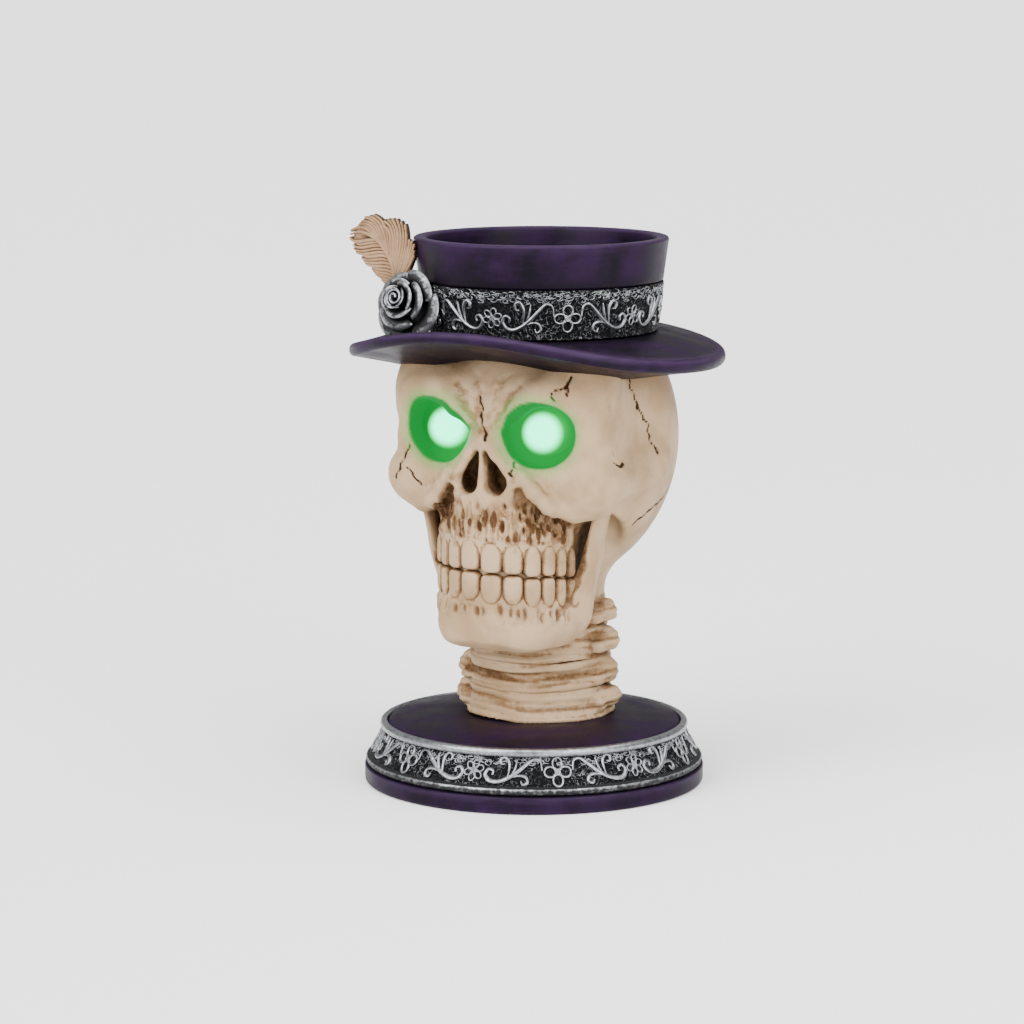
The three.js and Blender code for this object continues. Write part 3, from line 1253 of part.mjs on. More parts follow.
const boxTop = BAY_ROOF_Z + BOX_ROOF + GLUE_GAP;
const switchTop = PLINTH_HEIGHT + GLUE_GAP + SWITCH_HEIGHT + GLUE_GAP;
const electrics = new THREE.Group();
electrics.add(
  piece("led_lead_left", ledLead(1, [
    vector(4, -2, DECK_UNDER_Z - 2),
    vector(4, -16, DECK_UNDER_Z - 2),
    vector(3, SWITCH_Y, switchTop + 1.4),
    vector(3, SWITCH_Y, switchTop),
  ]), BLACK),
  piece("led_lead_right", ledLead(-1, [
    vector(-3, 8, DECK_UNDER_Z - 1.6),
    vector(-4, 14, boxTop + 1.4),
    vector(-4, 14, boxTop),
  ]), BLACK),
  piece("battery_box", batteryBox(), BLACK),
  piece("coin_cell_lower", coinCell(CELL_FOOT_Z), STEEL),
  piece("coin_cell_upper", coinCell(CELL_TOP_Z - CELL_HEIGHT), STEEL),
  piece("contact_spring", contactSpring(), STEEL),
  piece("contact_side", contactSide(), STEEL),
  piece("power_lead", wire([
    vector(BOX_WIDTH / 2 + GLUE_GAP, BAY_Y - 8, PLINTH_HEIGHT + 3),
    vector(BOX_WIDTH / 2 + 2, BAY_Y - 8, PLINTH_HEIGHT + 3),
    vector(BOX_WIDTH / 2 + 4, 4, PLINTH_HEIGHT + 2),
    vector(BOX_WIDTH / 2 + 1, -12, PLINTH_HEIGHT + 2),
    vector(SWITCH_LENGTH / 2 + 4, SWITCH_Y, PLINTH_HEIGHT + 3),
    vector(SWITCH_LENGTH / 2 + GLUE_GAP, SWITCH_Y, PLINTH_HEIGHT + 3),
  ], 12), BLACK),
  piece("battery_door", batteryDoor(), BLACK),
  piece("door_screw", doorScrew(), STEEL),
  piece("switch_body", switchBody(), BLACK),
  piece("switch_slider", switchSlider(), BLACK),
);

figure.add(base, neck, head, electrics);

export default figure;
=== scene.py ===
"""Looks of the skull figure: a painted cast skull in a top hat on a round base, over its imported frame.

Sizes in this file are millimetres in the frame's axes, and turn into metres where a mesh is made.
The skull's own frame has its origin on the figure's axis at the foot of the skull. The face looks along -Y.
"""

import math

import bmesh
import bpy
import numpy as np
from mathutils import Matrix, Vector


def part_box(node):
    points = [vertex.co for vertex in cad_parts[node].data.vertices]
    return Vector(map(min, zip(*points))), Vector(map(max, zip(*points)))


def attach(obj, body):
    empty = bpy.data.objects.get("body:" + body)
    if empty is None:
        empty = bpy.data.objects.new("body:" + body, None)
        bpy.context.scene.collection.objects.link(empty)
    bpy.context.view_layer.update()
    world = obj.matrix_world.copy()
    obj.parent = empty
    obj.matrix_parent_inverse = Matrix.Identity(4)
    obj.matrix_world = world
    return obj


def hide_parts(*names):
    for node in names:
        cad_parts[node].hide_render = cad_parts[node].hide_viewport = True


bl_info = {
    "name": "Skull Figure",
    "version": (1, 0, 0),
    "blender": (4, 5, 0),
    "location": "3D Viewport > Sidebar > Skull Figure",
    "description": "Builds the painted surfaces of a skull figure in a top hat over its packed frame",
    "category": "Object",
}

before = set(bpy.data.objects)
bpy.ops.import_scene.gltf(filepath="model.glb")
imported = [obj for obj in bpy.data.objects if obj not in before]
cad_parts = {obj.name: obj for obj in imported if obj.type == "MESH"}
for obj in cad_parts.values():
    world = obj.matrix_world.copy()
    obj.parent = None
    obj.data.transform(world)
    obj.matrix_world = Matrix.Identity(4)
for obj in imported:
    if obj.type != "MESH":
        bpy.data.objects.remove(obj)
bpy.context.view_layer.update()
MM = 0.001
# Points nearer than this, in metres, are one
WELD_REACH = 1e-6
# Keeps a division from a zero length
TINY = 1e-6


def level(node, top=False):
    """Lowest or highest height of a frame node."""
    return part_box(node)[1 if top else 0].z / MM


SKULL_Z = level("cranium")
NECK_FOOT_Z = level("vertebra_1")
DECK_TOP_Z = level("deck", top=True)
FRIEZE_FOOT_Z = level("frieze_ring")
FRIEZE_TOP_Z = level("frieze_ring", top=True)
CROWN_TOP_Z = level("hat_crown", top=True)
BAND_FOOT_Z = level("hat_band")
BAND_TOP_Z = level("hat_band", top=True)
NECK_Y = 3.5
HAT_Y = 4.5
# Degrees that the photo looks from, off the front
PHOTO_TURN = 26


class FigureSizes(bpy.types.PropertyGroup):
    """Sizes that a user may change."""

    bone_cell: bpy.props.FloatProperty(
        name="Bone Cell", description="Spacing of the grid that the bone is skinned on",
        default=0.7 * MM, min=0.4 * MM, subtype="DISTANCE", unit="LENGTH")
    turns: bpy.props.IntProperty(
        name="Round Segments", description="Segments of the turned pieces", default=240, min=48)
    frieze_repeats: bpy.props.IntProperty(
        name="Frieze Repeats", description="Flowers round the base", default=6, min=2)
    band_repeats: bpy.props.IntProperty(
        name="Band Repeats", description="Flowers round the hat", default=5, min=2)
    crack_depth: bpy.props.FloatProperty(
        name="Crack Depth", description="Depth of the cracks in the bone",
        default=0.45 * MM, min=0.0, subtype="DISTANCE", unit="LENGTH")


def colour(name, description, default):
    """A colour a user may change."""
    return bpy.props.FloatVectorProperty(
        name=name, description=description, default=default, size=3, min=0.0, max=1.0, subtype="COLOR")


class FigureColours(bpy.types.PropertyGroup):
    """Paints of the figure, in linear colour."""

    bone: colour("Bone", "Cream paint of the skull", (0.27, 0.178, 0.098))
    bone_pale: colour("Bone Highlight", "Dry-brushed cream on raised bone", (0.37, 0.258, 0.155))
    # Brown wash, also the colour of painted shade in the hollows
    wash_and_shade: colour("Wash", "Brown wash in the hollows", (0.052, 0.023, 0.009))
    purple: colour("Purple", "Hat and base", (0.0135, 0.0044, 0.0212))
    purple_dark: colour("Dark Purple", "Hat and base in the shade", (0.0036, 0.0021, 0.005))
    silver: colour("Silver", "Rubbed silver of the relief", (0.31, 0.315, 0.33))
    black: colour("Black", "Ground of the relief", (0.0025, 0.0025, 0.003))
    tan: colour("Tan", "Plume", (0.19, 0.11, 0.056))
    green: colour("Green", "Light of the eyes", (0.0, 0.48, 0.065))


def sizes():
    """The sizes set in the scene."""
    return bpy.context.scene.skull_sizes


def colours():
    """The paints set in the scene."""
    return bpy.context.scene.skull_colours


# Meshes


def in_scene(name, data):
    """A new object in the scene."""
    thing = bpy.data.objects.new(name, data)
    bpy.context.scene.collection.objects.link(thing)
    return thing


def baked(holder, name):
    """The plain mesh of an object with its modifiers run. The object itself goes."""
    graph = bpy.context.evaluated_depsgraph_get()
    result = bpy.data.meshes.new_from_object(holder.evaluated_get(graph))
    bpy.data.objects.remove(holder)
    result.name = name
    return result


def make_mesh(name, points, faces, attributes=None):
    """A mesh from points in millimetres and faces of one length, with values for each point."""
    faces = np.asarray(faces, dtype=np.int32)
    mesh = bpy.data.meshes.new(name)
    mesh.vertices.add(len(points))
    mesh.vertices.foreach_set("co", (np.asarray(points) * MM).astype(np.float32).ravel())
    mesh.loops.add(faces.size)
    mesh.loops.foreach_set("vertex_index", faces.ravel())
    mesh.polygons.add(len(faces))
    mesh.polygons.foreach_set("loop_start", np.arange(0, faces.size, faces.shape[1], dtype=np.int32))
    mesh.update(calc_edges=True)
    for key, values in (attributes or {}).items():
        data = mesh.attributes.new(key, "FLOAT", "POINT").data
        data.foreach_set("value", np.asarray(values, dtype=np.float32))
    mesh.shade_smooth()
    return mesh


def place(mesh, material, node):
    """Put a finished mesh in the scene, as the looks of a frame node where one is named."""
    piece = in_scene(mesh.name, mesh)
    if material:
        mesh.materials.clear()
        mesh.materials.append(material)
    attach(piece, "figure")
    if node:
        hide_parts(node)


def weld(mesh):
    """Merge doubled points, and drop faces that closed up."""
    shape = bmesh.new()
    shape.from_mesh(mesh)
    bmesh.ops.remove_doubles(shape, verts=shape.verts, dist=WELD_REACH)
    bmesh.ops.dissolve_degenerate(shape, edges=shape.edges, dist=0.1 * WELD_REACH)
    bmesh.ops.recalc_face_normals(shape, faces=shape.faces)
    shape.to_mesh(mesh)
    shape.free()
    mesh.shade_smooth()
    return mesh


def sheet_faces(rows, columns, closed_rows=False, closed_columns=False):
    """Quads of a grid of points, given row by row."""
    row = np.arange(rows if closed_rows else rows - 1)
    column = np.arange(columns if closed_columns else columns - 1)
    i, j = np.meshgrid(row, column, indexing="ij")
    after, beside = (i + 1) % rows, (j + 1) % columns
    here, there = i * columns, after * columns
    return np.stack([here + j, there + j, there + beside, here + beside], axis=-1).reshape(-1, 4)


def rounded(profile, radius, steps=5):
    """A profile with its inner corners rounded."""
    points = [np.array(point, dtype=float) for point in profile]
    result = [points[0]]
    for before, corner, after in zip(points, points[1:], points[2:]):
        back, ahead = before - corner, after - corner
        cut = min(radius, 0.45 * np.linalg.norm(back), 0.45 * np.linalg.norm(ahead))
        start = corner + back / np.linalg.norm(back) * cut
        end = corner + ahead / np.linalg.norm(ahead) * cut
        for t in np.linspace(0, 1, steps):
            result.append((1 - t) ** 2 * start + 2 * t * (1 - t) * corner + t ** 2 * end)
    result.append(points[-1])
    return np.array(result)


def dense(profile, spacing):
    """A profile with points added so that no stretch is longer than the spacing."""
    result = [profile[0]]
    for a, b in zip(profile, profile[1:]):
        steps = max(1, int(math.ceil(np.linalg.norm(b - a) / spacing)))
        result += [a + (b - a) * i / steps for i in range(1, steps + 1)]
    return np.array(result)


def smooth_line(points, steps):
    """A smooth curve through control points, with some steps to each stretch."""
    points = [np.array(point, dtype=float) for point in points]
    padded = [2 * points[0] - points[1], *points, 2 * points[-1] - points[-2]]
    result = []
    for p0, p1, p2, p3 in zip(padded, padded[1:], padded[2:], padded[3:]):
        for t in np.linspace(0, 1, steps, endpoint=False):
            result.append(0.5 * (2 * p1 + (p2 - p0) * t + (2 * p0 - 5 * p1 + 4 * p2 - p3) * t ** 2
                                 + (3 * p1 - p0 - 3 * p2 + p3) * t ** 3))
    result.append(points[-1])
    return np.array(result)


def run_length(line):
    """Length gone along a flat broken line at each of its points."""
    return np.concatenate([[0], np.cumsum(np.linalg.norm(np.diff(line, axis=0), axis=1))])


def at_length(line, gone, length):
    """Places on a flat broken line at lengths along it."""
    return np.stack([np.interp(length, gone, line[:, i]) for i in range(2)], axis=-1)


def merged(parts):
    """Points and faces of several parts as one."""
    starts = np.cumsum([0] + [len(points) for points, _ in parts])
    faces = [part_faces + start for (_, part_faces), start in zip(parts, starts)]
    return np.concatenate([points for points, _ in parts]), np.concatenate(faces)


def turned(name, profile, y=0.0, closed=False, attributes=None):
    """Turn a profile of (radius, height), solid on its left, about an upright axis."""
    profile = np.asarray(profile, dtype=float)
    count = sizes().turns
    turn = np.linspace(0, 2 * math.pi, count, endpoint=False)
    x = np.outer(np.sin(turn), profile[:, 0])
    depth = y - np.outer(np.cos(turn), profile[:, 0])
    z = np.tile(profile[:, 1], (count, 1))
    points = np.stack([x, depth, z], axis=-1).reshape(-1, 3)
    faces = sheet_faces(count, len(profile), closed_rows=True, closed_columns=closed)
    values = {key: np.tile(value, count) for key, value in (attributes or {}).items()}
    return weld(make_mesh(name, points, faces, values))


# Distance fields: negative inside


def ellipsoid(p, centre, radii):
    """An egg shape, near its true distance close to its surface."""
    scaled = [(p[i] - centre[i]) / radii[i] for i in range(3)]
    near = np.sqrt(sum(s * s for s in scaled))
    slope = np.sqrt(sum((s / r) ** 2 for s, r in zip(scaled, radii)))
    return near * (near - 1) / np.maximum(slope, TINY)


def rod(p, a, b, radius_a, radius_b=None):
    """A round-ended rod from a to b, tapered where it has two radii."""
    radius_b = radius_a if radius_b is None else radius_b
    d = [b[i] - a[i] for i in range(3)]
    along = sum((p[i] - a[i]) * d[i] for i in range(3)) / sum(c * c for c in d)
    t = np.clip(along, 0, 1)
    gap = np.sqrt(sum((p[i] - a[i] - t * d[i]) ** 2 for i in range(3)))
    return gap - radius_a - t * (radius_b - radius_a)


def chain(p, joints, k=2.0):
    """A run of rods through joints of (x, y, z, radius)."""
    result = None
    for a, b in zip(joints, joints[1:]):
        part = rod(p, a[:3], b[:3], a[3], b[3])
        result = part if result is None else soft_min(result, part, k)
    return result


def soft_min(a, b, k):
    """Two fields joined, with a fillet of about k between them."""
    h = np.maximum(0, k - np.abs(a - b)) / k
    return np.minimum(a, b) - h * h * k / 4


def carve(a, cut, k):
    """A field with another cut out of it, its edge rounded by about k."""
    return -soft_min(-a, cut, k)


def even_lines(end, cell):
    """Grid lines alike on both sides of the middle."""
    half = grid_lines(cell / 2, end, cell)
    return np.concatenate([-half[::-1], half])


def grid_lines(start, end, fine, coarse=None):
    """Grid lines whose spacing runs from fine to coarse."""
    coarse = fine if coarse is None else coarse
    lines = [start]
    while lines[-1] < end:
        share = (lines[-1] - start) / (end - start)
        lines.append(lines[-1] + fine + (coarse - fine) * share)
    return np.array(lines)


def skin(field, lines):
    """Points and quads of a field's zero level on a grid: one point in each cell that the surface crosses."""
    x, y, z = np.meshgrid(*lines, indexing="ij")
    value = field((x, y, z))
    inside = value < 0
    shape = tuple(len(axis) - 1 for axis in lines)
    total = np.zeros(shape + (3,))
    count = np.zeros(shape)
    quads = []
    grids = (x, y, z)
    for axis in range(3):
        low = tuple(slice(None, -1) if i == axis else slice(None) for i in range(3))
        high = tuple(slice(1, None) if i == axis else slice(None) for i in range(3))
        crossed = inside[low] != inside[high]
        share = np.where(crossed, value[low] / np.where(crossed, value[low] - value[high], 1), 0)
        where = [grid[low] for grid in grids]
        where[axis] = where[axis] + share * (grids[axis][high] - grids[axis][low])
        where = np.stack(where, axis=-1) * crossed[..., None]
        u, v = (axis + 1) % 3, (axis + 2) % 3
        for du in (0, 1):
            for dv in (0, 1):
                part = [slice(None)] * 3
                part[u] = slice(du, shape[u] + du)
                part[v] = slice(dv, shape[v] + dv)
                total += where[tuple(part)]
                count += crossed[tuple(part)]
        at = np.argwhere(crossed)
        at = at[(at[:, u] > 0) & (at[:, u] < shape[u]) & (at[:, v] > 0) & (at[:, v] < shape[v])]
        step_u, step_v = np.eye(3, dtype=int)[u], np.eye(3, dtype=int)[v]
        corners = [at - step_u - step_v, at - step_v, at, at - step_u]
        index = np.stack([np.ravel_multi_index(c.T, shape) for c in corners], axis=1)
        outward = inside[low][tuple(at.T)]
        quads.append(np.where(outward[:, None], index, index[:, ::-1]))
    used = count.ravel() > 0
    number = np.cumsum(used) - 1
    points = total.reshape(-1, 3)[used] / count.ravel()[used][:, None]
    return points, number[np.concatenate(quads)]


SLOPE_STEP = 0.15
SETTLE_ROUNDS = 2
SETTLE_REACH = 0.6
LEAST_SQUARE_SLOPE = 0.05


def slope_at(field, points):
    """Slope of a field at points, which heads outward."""
    slope = np.empty_like(points)
    for axis in range(3):
        shift = np.zeros(3)
        shift[axis] = SLOPE_STEP
        slope[:, axis] = (field((points + shift).T) - field((points - shift).T)) / (2 * SLOPE_STEP)
    return slope


def settle(field, points):
    """Pull points on to the zero level, and return them with their outward directions."""
    for _ in range(SETTLE_ROUNDS):
        value, slope = field(points.T), slope_at(field, points)
        square = np.maximum((slope ** 2).sum(axis=1), LEAST_SQUARE_SLOPE)
        step = np.clip(value / square, -SETTLE_REACH, SETTLE_REACH)
        points = points - slope * step[:, None]
    slope = slope_at(field, points)
    return points, slope / np.maximum(np.linalg.norm(slope, axis=1), TINY)[:, None]


def hollowness(field, points, normals, reaches):
    """How closed in each point is, from 0 in the open to 1 in a deep hollow."""
    total = np.zeros(len(points))
    for reach in reaches:
        total += np.clip(1 - field((points + normals * reach).T) / reach, 0, 1)
    return total / len(reaches)


LINE_WANDER = 0.32


def near_lines(flat, lines):
    """Distance of flat points to the nearest of some broken lines, which wander a little."""
    x, z = flat.T
    flat = flat + LINE_WANDER * np.stack([np.sin(1.9 * z) + np.sin(0.8 * z + 1), np.sin(1.7 * x)], axis=-1)
    best = np.full(len(flat), np.inf)
    for line in lines:
        for a, b in zip(line, line[1:]):
            a, b = np.array(a), np.array(b)
            d = b - a
            t = np.clip(((flat - a) @ d) / (d @ d), 0, 1)
            best = np.minimum(best, np.linalg.norm(flat - a - t[:, None] * d, axis=1))
    return best


def bump(distance, width):
    """A bell: 1 at no distance, near 0 past twice the width."""
    return np.exp(-((distance / width) ** 2))


def ramp(value, low, high):
    """A smooth step from 0 at low to 1 at high."""
    t = np.clip((value - low) / (high - low), 0, 1)
    return t * t * (3 - 2 * t)


# Skull, in its own frame

lens_low, lens_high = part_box("eye_lens_left")
EYE_X = (lens_low.x + lens_high.x) / 2 / MM
EYE_Z = (lens_low.z + lens_high.z) / 2 / MM - SKULL_Z
EYE_FRONT = -lens_low.y / MM
LENS_RADIUS = (lens_high.x - lens_low.x) / 2 / MM
ARCH_HALF_WIDTH = 21.6
ARCH_DEPTH = 23.3
ARCH_Y = -12.6
GUM_UPPER_Z = 20.6
MOUTH_Z = 12.0
GUM_LOWER_Z = 4.0
CHIN_Z = -9.9
TOOTH_WIDTHS = (6.8, 6.2, 5.5, 4.9, 4.4, 4.2)
TOOTH_THICKNESS = 5.0
TOOTH_LEAN = 0.22
TOOTH_UNEVEN = 0.25
BITE_SINK = 1.3
BITE_TILT = 0.045
# The tooth rows keep this far apart
BITE_GAP = 0.1
# Share of the roots' texture on the lower jaw
LOWER_ROOT_SHARE = 0.35
SKULL_TOP_Z = 75.0
# Reach of the grids that the bones are skinned on: half width, front, back, foot and top
CRANIUM_REACH = (47, -41, 53, -1.3, SKULL_TOP_Z + 2)
JAW_REACH = (33, -40, 12, CHIN_Z - 2.5, 33)
FRONT_CRACK_WIDTH = 0.44
SIDE_CRACK_WIDTH = 0.52
FOLD_WIDTH = 1.3
SOCKET_CORNER_X = 5.9
RIGHT_SOCKET_STRETCH = 1.11
RIGHT_RAMUS_FORWARD = 6.0
# Upright of the jaw, seen from the side: (0, y, z, radius) down its length
JAW_UPRIGHT = (
    (0, -9.6, 29, 4.8), (0, -10.6, 15, 5.0), (0, -11.6, 8, 5.4), (0, -13.4, 1, 6.9), (0, -14.6, -1.5, 7.5),
)

# Cracks and scratches, as lines seen from the front (x, z) and from the side (y, z)
FRONT_CRACKS = (
    ((-2.3, 62.7), (-1.5, 59.4), (-0.7, 55.2), (1.9, 49.9)),
    ((-27.2, 46.1), (-29.1, 42.8), (-29.5, 39.5), (-31.8, 36.2)),
    ((-27.3, 39.5), (-25.0, 38.2), (-24.1, 35.9), (-22.8, 34.8)),
    ((23.9, 68.5), (24.4, 66.4), (21.4, 64.9), (21.3, 61.6)),
    ((24.0, 66.3), (25.6, 63.3)),
    ((9.3, 44.8), (9.0, 41.3), (10.0, 40.0)),
)
SIDE_CRACKS = (
    ((23.2, 46.0), (23.9, 42.0), (23.0, 38.0), (21.2, 32.6), (18.0, 30.4), (14.1, 28.5), (8.0, 26.6),
     (1.5, 22.9)),
    ((-4.0, 68.0), (-4.4, 64.0), (-2.0, 58.0), (0.6, 55.8), (3.0, 52.0), (3.6, 48.0), (5.0, 44.0)),
    ((30.0, 70.0), (30.4, 65.0), (33.0, 60.0), (36.6, 57.6), (37.4, 53.0), (36.0, 49.0), (36.6, 46.0)),
    ((-19.0, 43.5), (-16.5, 42.4), (-14.5, 43.2)),
)
# Frown folds over the nose, on one side
FROWN_FOLDS = (
    ((9.6, 65.5), (6.4, 60.2), (3.4, 55.0)),
    ((4.2, 67.5), (2.2, 61.0), (1.4, 56.5)),
    ((0.0, 53.4), (4.6, 53.9)),
)
# Lower edge of the cheekbone, on one side, seen from the front, and the pockets along it
CHEEK_EDGE = ((10.0, 39.0), (12.4, 33.8), (16.2, 28.8), (21.4, 25.4), (27.0, 24.6))
FIRST_POCKET = 0.8
POCKET_PITCH = 2.05
POCKET_HALF_WIDTH = 0.62


def mirrored(points):
    """Points with those on the figure's right folded over to its left."""
    return np.abs(points) * [1, 0, 0] + points * [0, 1, 1]


def bite_bend(x, y):
    """How far the tooth rows sink toward their ends, and to the figure's left."""
    angle = np.arctan2(np.abs(x), ARCH_Y - y)
    return BITE_SINK * (np.minimum(angle, 1.4) / 1.2) ** 2 + BITE_TILT * x


def arch_column(p, setback, foot, top):
    """An upright column on the plan of the dental arch."""
    half, depth = ARCH_HALF_WIDTH - setback, ARCH_DEPTH - setback
    px, py = p[0] / half, (p[1] - ARCH_Y) / depth
    near = np.hypot(px, py)
    plan = near * (near - 1) / np.maximum(np.hypot(px / half, py / depth), TINY)
    return np.maximum(np.maximum(plan, foot - p[2]), p[2] - top)


def socket_x(x):
    """Distance from the middle for the eye sockets: the figure's right one is a little wider."""
    wide = SOCKET_CORNER_X + (-x - SOCKET_CORNER_X) / RIGHT_SOCKET_STRETCH
    return np.where(x < 0, wide, x)


def orbit_field(q):
    """One eye socket: a bowl that runs to a point at the nose."""
    bowl = ellipsoid(q, (15.7, -29.5, 51.9), (9.9, 13.5, 9.7))
    corner = rod(q, (10.0, -30.5, 51.4), (5.9, -30.0, 52.4), 4.4, 1.3)
    return soft_min(bowl, corner, 2.0)


def nostril_field(q):
    """One nostril: a drop, narrow at the top, bored back into the bone."""
    x, y, z = q
    plan = rod((x, 0 * y, z), (1.9, 0, 46.8), (4.8, 0, 38.2), 1.4, 4.0)
    return np.maximum(plan, y + 25.5)


def cranium_field(p):
    """The skull with its upper jaw, without teeth."""
    x, y, z = np.abs(p[0]), p[1], p[2]
    q = (x, y, z)
    bent = (x, y, z + bite_bend(p[0], y))
    bone = ellipsoid(q, (0, 9, 46.5), (38, 41, 44))
    parts = [
        rod(q, (0, 4, -8), (0, 6, 12), 18.6),
        ellipsoid(q, (0, -12, 49), (33.5, 17.5, 22)),
        ellipsoid(q, (25, -20, 37), (11.8, 8.6, 9.8)),
        rod(q, (31, -13, 38), (33, 6, 41), 6.2, 6),
        chain(q, ((4.5, -25.5, 61.5, 5.2), (17, -25.6, 63, 5.6), (26.5, -21.3, 60, 5.4),
                  (28, -20.6, 49, 5.2))),
        rod(q, (0, -26.5, 58), (0, -32.0, 48), 3.4, 2.9),
        ellipsoid(q, (0, -21.9, 37.0), (14.2, 13.4, 14)),
        np.maximum(ellipsoid(q, (0, ARCH_Y, 22), (20.9, 22.5, 26)), GUM_UPPER_Z - 2.6 - bent[2]),
        arch_column(bent, 2.2, MOUTH_Z - BITE_GAP, GUM_UPPER_Z + 4),
    ]
    for part in parts:
        bone = soft_min(bone, part, 5)
    bone = soft_min(bone, ellipsoid(q, (26, -16.5, 68), (7, 7, 9)), 11)
    bone = carve(bone, ellipsoid(q, (42.0, -5, 53), (8, 16, 15)), 4)
    under_cheek = chain(q, ((8.6, -34, 39.4, 1.3), (11.4, -31.2, 33.2, 2.0), (15.2, -28.4, 28.0, 2.4),
                            (20.5, -24.0, 25.0, 2.5), (27, -18.0, 24.0, 3.0)))
    bone = carve(bone, under_cheek, 2.0)
    cheek_rim = chain(q, ((11.4, -32.0, 40.4, 1.6), (14.4, -30.8, 35.6, 1.9), (18.4, -28.0, 31.2, 2.2),
                          (24, -23.2, 29.2, 2.5), (30, -16.5, 30.2, 2.8)))
    bone = soft_min(bone, cheek_rim, 2.2)
    bone = carve(bone, ellipsoid(q, (26.2, -10.5, 12.5), (6.8, 13, 16)), 2)
    bone = carve(bone, orbit_field((socket_x(p[0]), y, z)), 1.6)
    brow = chain(q, ((4.4, -29.6, 54.6, 1.8), (9.4, -31.4, 58.9, 2.6), (16, -30.4, 63.4, 2.9),
                     (24.5, -26.8, 62.8, 2.8), (29.4, -22, 57, 2.8)))
    bone = soft_min(bone, brow, 3)
    bone = carve(bone, nostril_field(q), 0.8)
    nose_rim = chain(q, ((0, -33.6, 50.2, 1.5), (4.2, -33.9, 46.0, 1.2), (9.5, -32.0, 38.2, 1.5),
                         (6.9, -33.4, 32.8, 1.4)))
    bone = soft_min(bone, nose_rim, 1.6)
    septum = rod(q, (0, -31.5, 47), (0, -34.2, 34.6), 0.6, 0.9)
    bone = soft_min(bone, septum, 1.2)
    return np.maximum(np.maximum(bone, 0.05 - z), z - SKULL_TOP_Z)


def behind_teeth(q):
    """The gap between the ends of the tooth rows and the upright of the jaw."""
    return chain(q, ((22.6, -16.0, 24, 1.4), (22.6, -17.0, 13, 1.4), (21.9, -18.6, 8, 1.3),
                     (21.0, -21.0, 3.4, 1.1), (20.2, -22.8, 0.0, 0.7)))


def mandible_field(p):
    """The lower jaw, without teeth. Its upright on the figure's right stands further forward."""
    x, y, z = np.abs(p[0]), p[1], p[2]
    q = (x, y, z)
    bent = (x, y, z + bite_bend(p[0], y))
    jaw = chain(q, (
        (0, -27.0, CHIN_Z + 4.8, 4.8),
        (11, -25.2, CHIN_Z + 4.6, 4.6),
        (15.0, -19.6, CHIN_Z + 5.4, 4.3),
        (19.4, -11.5, CHIN_Z + 7.4, 3.8),
    ), 4)
    inset = 1.1 + 0.24 * np.maximum(0, GUM_LOWER_Z - 2 - z)
    alveolus = arch_column(bent, inset, CHIN_Z + 3, GUM_LOWER_Z + 2.6)
    jaw = soft_min(jaw, carve(alveolus, ellipsoid(q, (0, 6, 0), (21, 22, 60)), 2), 6)
    jaw = soft_min(jaw, ellipsoid(q, (0, -26.2, CHIN_Z + 6.0), (14, 6.2, 6.2)), 7)
    jaw = soft_min(jaw, arch_column(bent, 2.2, CHIN_Z + 8, MOUTH_Z + BITE_GAP), 3)
    jaw = carve(jaw, ellipsoid(q, (24.5, -11.5, 13), (4.6, 8.5, 12)), 1.5)
    outer = 23.0 + 0.2 * z - 0.33 * np.maximum(0, -12 - y) * (1 - z / 40)
    flat_x = (x - outer + 1.9) * 3.0
    ramus = chain((flat_x, y, z), JAW_UPRIGHT, 3) * 0.6
    forward = chain((flat_x, y + RIGHT_RAMUS_FORWARD * ramp(z, 2, 14), z), JAW_UPRIGHT, 3) * 0.6
    jaw = soft_min(jaw, np.where(p[0] < 0, np.minimum(ramus, forward), ramus), 2.4)
    return np.where(p[0] < 0, jaw, carve(jaw, behind_teeth(q), 1.0))


def arch_place(distance):
    """Point and heading on the dental arch, at a distance along it from the middle."""
    step = 0.005
    turn = gone = 0.0
    while gone < distance:
        gone += step * math.hypot(ARCH_HALF_WIDTH * math.cos(turn), ARCH_DEPTH * math.sin(turn))
        turn += step
    heading = math.atan2(ARCH_DEPTH * math.sin(turn), ARCH_HALF_WIDTH * math.cos(turn))
    return ARCH_HALF_WIDTH * math.sin(turn), ARCH_Y - ARCH_DEPTH * math.cos(turn), heading


def tooth_places():
    """(x, y, heading, width) of each tooth of one row, both sides."""
    result = []
    gone = 0.0
    for width in TOOTH_WIDTHS:
        x, y, heading = arch_place(gone + width / 2)
        result += [(x, y, heading, width), (-x, y, -heading, width)]
        gone += width
    return result


def tooth_girth(rise):
    """Share of its width that a tooth has at a height: squared at the bite (-1), round at the gum (1)."""
    blunt = np.where(rise < 0, 8.0, 2.6)
    return (1 - np.minimum(np.abs(rise), 1.0) ** blunt) ** 0.5 * (1 - 0.06 * np.maximum(rise, 0))


